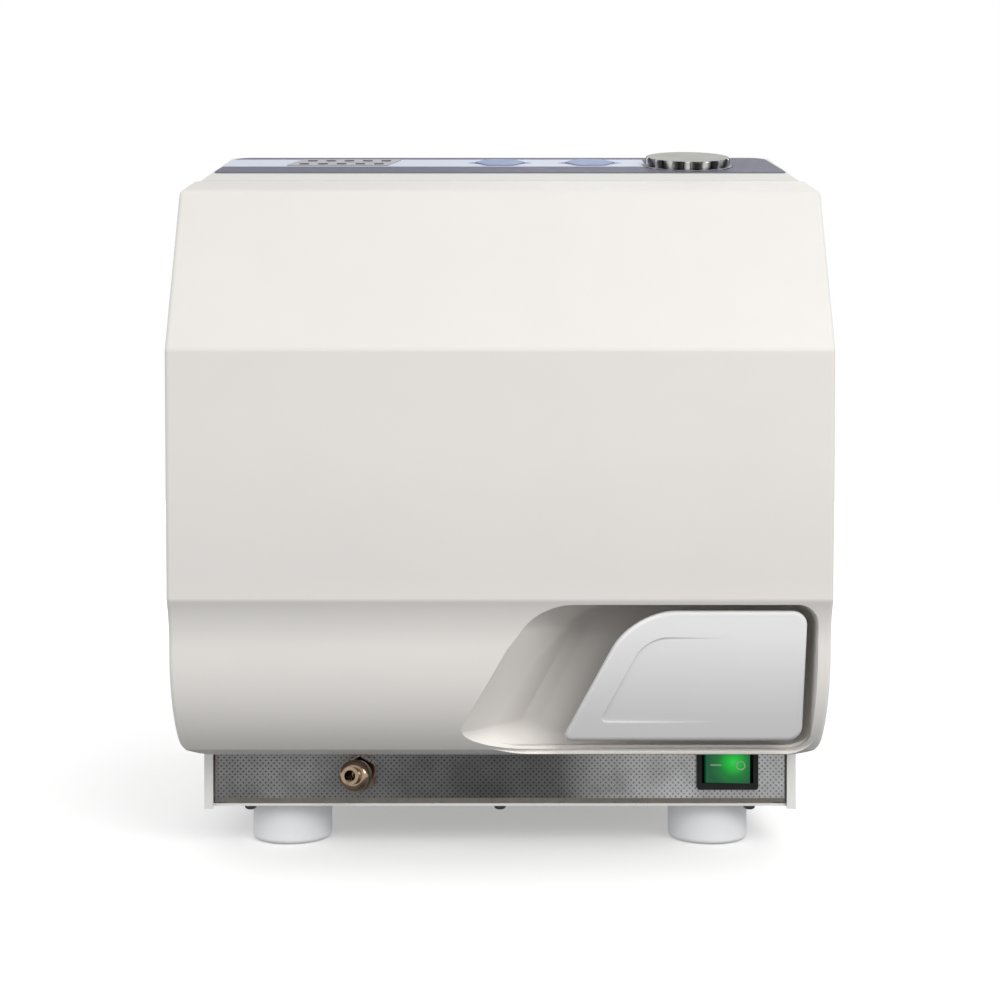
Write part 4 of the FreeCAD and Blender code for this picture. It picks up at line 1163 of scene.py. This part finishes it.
    def scoop(self) -> Piece:
        """The form cut away behind the handle.

        Returns:
            A block whose left wall slants in to its floor, with rounded corners.
        """
        near, far = depth(self.scoop_start), depth(self.floor)
        die = Piece.block("scoop_die", (self.scoop_front[0][0], near, self.scoop_front[0][1]),
                          (self.scoop_front[1][0], far, self.scoop_front[2][1]))
        for (x, z, _), (floor_x, floor_z) in zip(self.scoop_front, self.scoop_floor):
            block_x = self.scoop_front[0][0] if x < self.scoop_front[1][0] else x
            leaning = near + self.scoop_lean * (self.scoop_front[2][1] - z)
            die.pull((block_x, near, z), (x, leaning, z))
            die.pull((block_x, far, z), (floor_x, far, floor_z))
        for (x, z, radius), (floor_x, floor_z) in zip(self.scoop_front, self.scoop_floor):
            die.round_corner((x + floor_x) / 2, (z + floor_z) / 2, radius)
        die.edges(lambda middle, way: middle.y > far - 1e-5 and abs(way.y) < 0.01)
        die.bevel(self.scoop_round, 6)
        die.faces(lambda middle, normal: normal.y < -0.9)
        bpy.ops.mesh.extrude_region_move(TRANSFORM_OT_translate={"value": (0.0, -0.04, 0.0)})
        die.done()
        return die

    def in_scoop(self, spot: Vector, _: Vector) -> bool:
        """Tell whether a place lies on the scoop's walls or floor, behind the chin's surface.

        Args:
            spot: The place.

        Returns:
            Whether it does.
        """
        (x0, z0, _), (x1, _, _), (_, z1, _), _ = self.scoop_front
        within = x0 - 0.001 < spot.x < x1 + 0.001 and z0 - 0.001 < spot.z < z1 + 0.001
        drop = min(self.chin_radius, abs(spot.z - self.chin_centre[1]))
        chin = self.chin_centre[0] - math.sqrt(self.chin_radius ** 2 - drop ** 2) / MM
        return within and depth(chin + 1.6) < spot.y < depth(self.floor + 0.2)

    def round_rim(self, shell: Piece) -> None:
        """Round the scoop's rim.

        Args:
            shell: The door's block with the scoop cut out.
        """
        (x0, z0, _), (x1, _, _), (_, z1, _), _ = self.scoop_front
        margin, deepest = 0.002, depth(self.floor - 8.0)
        shell.edges(lambda m, _: x0 - margin < m.x < x1 + margin and z0 - margin < m.z < z1 + margin
                    and m.y < deepest, 28.0)
        shell.bevel(self.rim, 3)

    def lugs(self) -> Piece:
        """The two lugs that hold the handle's pin.

        Returns:
            The finished pair.
        """
        x, y = self.pivot[0], depth(self.pivot[1])
        r, back = self.lug_radius, depth(self.floor + 1.0)
        lug = Piece.block("handle_lugs", (x - r, y, self.lug_rows[0]),
                          (x + r, back, self.lug_rows[0] + self.lug_thick))
        lug.edges(lambda middle, way: abs(way.z) > 0.99 and middle.y < y + 1e-4)
        lug.bevel(r, 12)
        lug.move(Matrix.Translation((0.0, -r, 0.0)))
        lug.faces(lambda middle, normal: normal.y > 0.99)
        bpy.ops.mesh.extrude_region_move(TRANSFORM_OT_translate={"value": (0.0, r, 0.0)})
        lug.done()
        lug.cut(Piece.rod("pin_hole", (x, y, self.lug_rows[0]), self.pin_hole, 0.02, 32))
        lug.repeat(2, (0.0, 0.0, self.lug_rows[1] - self.lug_rows[0]))
        lug.finish(WARM_WHITE, "door", "warm_white_plastic")
        return lug


@dataclass
class Door(Assembly):
    """Deep moulded door with its frame, pressure plate, seal and liner."""

    shell: DoorShell = field(default_factory=DoorShell)

    def build(self) -> None:
        """Build the cover."""
        self.shell.build()

    def dress(self) -> None:
        """Finish the door's own nodes."""
        dress(WARM_WHITE, "door_cover")
        dress(ZINC, "door_frame", "door_hinge_leaves", "lock_bar")
        dress(STAINLESS, "plate_hub", "pressure_plate")
        dress(SILICONE, "door_gasket")
        dress(PALE, "door_liner")
        dress(BRIGHT_STEEL, "liner_screws")


@dataclass
class Switch(Assembly):
    """Mains switch: black bezel and lit green key with its two marks."""

    centre_x: float = 0.114
    centre_z: float = 0.0429
    panel: float = 68.5
    mark_lift: float = 0.00006
    bar_x: Pair = (0.1053, 0.1109)
    bar_height: float = 0.0007
    ring_x: float = 0.1203
    ring_radius: float = 0.0023
    ring_line: float = 0.0006
    valley: float = -3.2
    left_end: float = -1.8
    right_end: float = -4.4
    half: float = 0.011

    def lit(self) -> LitKey:
        """The key's finish, with its lamp between the marks."""
        lamp = (self.centre_x + 0.0028, depth(self.panel + self.valley), self.centre_z + 0.0016)
        return LitKey("lit green key", linear(4, 60, 30), 0.3, 0.05, lamp=lamp)

    def lean(self, end: float, side: float) -> Matrix:
        """Work out how a flat mark lies on one half of the key's face.

        Args:
            end: Depth of the half's outer end behind the panel, in millimetres.
            side: -1 for the left half, 1 for the right one.

        Returns:
            The matrix that lays it there.
        """
        slope = (end - self.valley) * MM / (side * self.half)
        matrix = Matrix.Identity(4)
        matrix[1][0] = slope
        matrix[1][3] = depth(self.panel + self.valley) - slope * self.centre_x - self.mark_lift
        return matrix

    def build(self) -> None:
        """Print the bar and the ring on the key."""
        half = self.bar_height / 2
        bar = Piece.block("switch_mark_bar", (self.bar_x[0], -self.mark_lift, self.centre_z - half),
                          (self.bar_x[1], self.mark_lift, self.centre_z + half))
        bar.edges(lambda middle, way: abs(way.y) > 0.99)
        bar.bevel(half * 0.8, 3)
        bar.move(self.lean(self.left_end, -1.0))
        bar.finish(LEGEND, "rocker", "lit_green")
        ring = Piece.rod("switch_mark_ring", (self.ring_x, 0.0, self.centre_z), self.ring_radius,
                         2 * self.mark_lift, 40, (math.pi / 2, 0.0, 0.0))
        ring.faces(lambda _, normal: abs(normal.y) > 0.9)
        bpy.ops.mesh.inset(thickness=self.ring_line)
        bpy.ops.mesh.bridge_edge_loops()
        ring.done()
        ring.move(self.lean(self.right_end, 1.0))
        ring.finish(LEGEND, "rocker", "lit_green")

    def dress(self) -> None:
        """Finish the bezel and the key."""
        dress(BLACK, "switch_bezel")
        dress(self.lit(), "rocker")


@dataclass
class DimpledFront(Assembly):
    """Stainless skin on the base's front panel, pressed all over with staggered dimples."""

    pitch: float = 0.0028
    dimple: float = 0.00066
    sink: float = 0.00032
    skin: float = 0.0004
    panel: float = 68.5
    columns: int = 102
    low: float = 0.026
    rows: int = 24
    window: tuple[float, float, float, float] = (0.1005, 0.1275, 0.0335, 0.0523)
    half: float = 0.1428

    def build(self) -> None:
        """Press one cell, repeat it in staggered rows, open the switch's window and close the back."""
        width, row = self.pitch, self.pitch / 2
        start = -self.columns * width / 2
        face = depth(self.panel) - self.skin
        sheet = Piece.sheet("dimpled_skin", (start + width / 2, face, self.low + row / 2), width, row)
        self.press_cell(sheet, start + width / 2, self.low + row / 2)
        sheet.repeat(self.columns, (width, 0.0, 0.0), True)
        sheet.edit()
        bpy.ops.mesh.select_all(action="SELECT")
        bpy.ops.mesh.duplicate_move(TRANSFORM_OT_translate={"value": (row, 0.0, row)})
        sheet.done()
        sheet.repeat(self.rows // 2, (0.0, 0.0, 2 * row))
        sheet.merge(1e-5)
        for side in (1.0, -1.0):
            sheet.bisect((side * self.half, 0.0, 0.0), (side, 0.0, 0.0), False)
        x0, x1, z0, z1 = self.window
        sheet.faces(lambda m, _: x0 < m.x < x1 and z0 < m.z < z1)
        sheet.delete("FACE")
        self.close_back(sheet)
        sheet.finish(SHEET_STEEL, "root", "dimpled_stainless", 20.0)
        # Painted shade: the dimple floors get a darker finish.
        sink_line = face + self.sink * 0.3
        sheet.paint(DIMPLE_PAINTED_SHADE, lambda m, n: sink_line < m.y < face + self.sink * 1.1
                    and n.y < -0.2)

    def press_cell(self, sheet: Piece, x: float, z: float) -> None:
        """Press the one dimple of a cell.

        Args:
            sheet: The cell, a flat rectangle.
            x: The dimple's place across.
            z: The dimple's height.
        """
        sheet.faces(lambda *_: True)
        bpy.ops.mesh.subdivide(number_cuts=1)
        sheet.done()
        sheet.vertices(lambda spot, _: math.hypot(spot.x - x, spot.z - z) < 1e-5)
        sheet.bevel(self.dimple, 2, 0.5, vertices=True)
        sheet.faces(lambda m, _: math.hypot(m.x - x, m.z - z) < self.dimple * 0.9)
        bpy.ops.mesh.inset(thickness=self.dimple * 0.12, depth=-self.sink)
        sheet.done()

    def close_back(self, sheet: Piece) -> None:
        """Turn the rims back by the skin's thickness and fill them.

        Args:
            sheet: The open sheet.
        """
        sheet.edit(Part.EDGES)
        bpy.ops.mesh.select_non_manifold(extend=False, use_wire=False, use_boundary=True,
                                         use_multi_face=False, use_non_contiguous=False,
                                         use_verts=False)
        bpy.ops.mesh.extrude_edges_move(TRANSFORM_OT_translate={"value": (0.0, self.skin, 0.0)})
        bpy.ops.mesh.fill(use_beauty=False)
        sheet.done()


@dataclass
class Base(Assembly):
    """Base tray, front panel, feet, drain fitting and their fixings."""

    switch: Switch = field(default_factory=Switch)
    skin: DimpledFront = field(default_factory=DimpledFront)

    def build(self) -> None:
        """Build the dimpled skin and the switch's marks."""
        self.skin.build()
        self.switch.build()

    def dress(self) -> None:
        """Finish the base's nodes."""
        self.switch.dress()
        dress(FLANGE_STEEL, "base_front_panel")
        dress(PAINT, "base_tray", "body_cover", "rear_panel", "front_frame")
        dress(FOOT, "feet")
        dress(DARK_STEEL, "base_screws")
        dress(BRIGHT_STEEL, "foot_bolts", "rear_screws")
        dress(NICKEL_BRASS, "drain_fitting", "drain_tail")


@dataclass
class ControlHead(Assembly):
    """Inclined control panel with its printed overlay, keys, window, lamps and filler."""

    origin_depth: float = 62.0
    origin_z: float = 0.3344

    def film(self) -> PrintedFilm:
        """The overlay's finish, measured from the panel's lower front edge."""
        start = (0.0, depth(self.origin_depth), self.origin_z)
        return PrintedFilm("printed overlay", linear(120, 120, 132), 0.4, 0.02, start=start)

    def dress(self) -> None:
        """Finish the panel's nodes."""
        dress(PALE, "control_housing")
        dress(self.film(), "control_overlay")
        dress(WINDOW, "display_window")
        dress(LENS, "indicator_lights")
        dress(KEY_BLUE, "button_start", "button_select")
        dress(BOARD, "control_board")
        dress(CHROME, "filler_neck", "filler_cap")
        dress(DARK, "filler_plug")


@dataclass
class Chamber(Assembly):
    """Pressure vessel with its lagging, heater, rack, trays and supports."""

    def dress(self) -> None:
        """Finish the vessel and what goes with it."""
        dress(STAINLESS, "pressure_chamber", "chamber_rack", "trays", "temperature_probe")
        dress(WOOL, "insulation_jacket")
        dress(ZINC, "heater_band", "chamber_supports", "body_hinge_leaves", "keepers")
        dress(BRIGHT_STEEL, "hinge_pins")


@dataclass
class Services(Assembly):
    """Water, steam and mains parts behind the vessel."""

    def dress(self) -> None:
        """Finish the service parts."""
        dress(PALE, "water_tank")
        dress(DARK, "water_pump", "cooling_fan_frame", "transformer")
        dress(NICKEL_BRASS, "solenoid_valves", "safety_valve")
        dress(COPPER, "drain_pipe", "condenser_coil")
        dress(SILICONE, "fill_pipe")
        dress(BLACK, "fan_rotor", "mains_inlet", "fuse_holders")
        dress(BLACK_RUBBER, "rear_standoffs")
        dress(BRIGHT_STEEL, "safety_ring")


# Studio

@dataclass(frozen=True)
class Sweep(Finish):
    """Pale floor that runs out into a white background."""

    lift: float = 0.2
    reach: Pair = (0.7, 2.5)

    def detail(self, shader: Shader) -> None:
        """Lift the floor towards white away from the middle.

        Args:
            shader: The material's node tree.
        """
        gap = shader.add("ShaderNodeVectorMath", {"operation": "LENGTH"})
        shader.link(shader.place, gap.inputs[0])
        glow = shader.spread(gap.outputs["Value"], self.lift, 1.0, *self.reach)
        shader.set("Emission Color", (1.0, 1.0, 1.0))
        shader.link(glow, shader.surface.inputs["Emission Strength"])


@dataclass(frozen=True)
class Softbox:
    """A softbox: where it hangs, what it lights, its width, watts and colour."""

    place: Triple
    aim: Triple
    size: float
    power: float
    colour: Triple = (1.0, 1.0, 1.0)


class Lamp(Enum):
    """The softboxes round the object."""

    KEY = Softbox((0.75, -1.45, 1.1), (0.0, -0.1, 0.17), 1.0, 14.5, (1.0, 0.99, 0.98))
    FILL = Softbox((-1.5, -1.1, 0.6), (0.0, 0.0, 0.15), 1.4, 3.0, (0.97, 0.985, 1.0))
    REAR = Softbox((0.6, 1.6, 1.5), (0.0, 0.1, 0.15), 1.4, 5.0)


@dataclass
class Studio:
    """Pale floor, soft light and the camera."""

    camera_height: float = 0.1756
    camera_gap: float = 0.653
    lens: float = 51.7
    floor_colour: Triple = linear(255, 255, 255)
    floor_size: float = 400.0
    floor_lift: float = 0.22
    floor_reach: Pair = (0.7, 2.5)
    sky: tuple[Pair, ...] = ((0.0, 0.18), (0.40, 0.27), (0.476, 0.42), (0.488, 1.0),
                                (0.68, 1.0), (0.85, 0.62))

    def build(self) -> None:
        """Set up the whole studio."""
        self.lay_floor()
        self.light_room()
        for lamp in Lamp:
            self.hang(lamp)
        self.place_camera()

    def lay_floor(self) -> None:
        """Lay the floor, kept out of reflections so the underside stays shaded."""
        bpy.ops.object.select_all(action="DESELECT")
        bpy.ops.mesh.primitive_plane_add(size=self.floor_size, location=(0.0, 0.0, -0.0002))
        floor = bpy.context.view_layer.objects.active
        floor.name = "studio_floor"
        floor.data.materials.append(Sweep("studio floor", self.floor_colour, 0.9, 0.0,
                                          lift=self.floor_lift, reach=self.floor_reach).material())
        floor.visible_diffuse = False
        floor.visible_glossy = False

    def light_room(self) -> None:
        """Light from all round: bright above the horizon and dim below it."""
        world = bpy.data.worlds.new("studio")
        bpy.context.scene.world = world
        world.use_nodes = True
        tree = world.node_tree
        background = tree.nodes["Background"]
        way = tree.nodes.new("ShaderNodeTexCoord")
        split = tree.nodes.new("ShaderNodeSeparateXYZ")
        ramp = tree.nodes.new("ShaderNodeValToRGB")
        span = tree.nodes.new("ShaderNodeMapRange")
        span.inputs["From Min"].default_value = -1.0
        tree.links.new(way.outputs["Generated"], split.inputs["Vector"])
        tree.links.new(split.outputs["Z"], span.inputs["Value"])
        tree.links.new(span.outputs["Result"], ramp.inputs["Fac"])
        tree.links.new(ramp.outputs["Color"], background.inputs["Color"])
        while len(ramp.color_ramp.elements) < len(self.sky):
            ramp.color_ramp.elements.new(1.0)
        for element, (place, level) in zip(ramp.color_ramp.elements, self.sky):
            element.position = place
            element.color = (level, level, level, 1.0)

    def hang(self, lamp: Lamp) -> None:
        """Hang one softbox and aim it.

        Args:
            lamp: Which softbox.
        """
        box = lamp.value
        way = Vector(box.aim) - Vector(box.place)
        bpy.ops.object.light_add(type="AREA", location=box.place,
                                 rotation=way.to_track_quat("-Z", "Y").to_euler())
        light = bpy.context.view_layer.objects.active
        light.name = "softbox_" + lamp.name.lower()
        light.data.size = box.size
        light.data.energy = box.power
        light.data.color = box.colour

    def place_camera(self) -> None:
        """Stand the camera level in front of the door."""
        bpy.ops.object.camera_add(location=(0.0, FRONT - self.camera_gap, self.camera_height),
                                  rotation=(math.pi / 2, 0.0, 0.0))
        camera = bpy.context.view_layer.objects.active
        camera.data.lens = self.lens
        camera.data.sensor_width = 36.0
        camera.data.clip_start = 0.01
        bpy.context.scene.camera = camera
        bpy.context.scene.view_settings.view_transform = "Standard"


def main() -> None:
    """Build and dress every sub-assembly in order."""
    logging.basicConfig(level=logging.INFO, format="%(name)s: %(message)s", stream=sys.stdout)
    Studio().build()
    for part in (Door(), Handle(), Base(), ControlHead(), Chamber(), Services()):
        part.build()
        part.dress()
        log.info("%s ready", type(part).__name__)


if __name__ == "__main__":
    main()
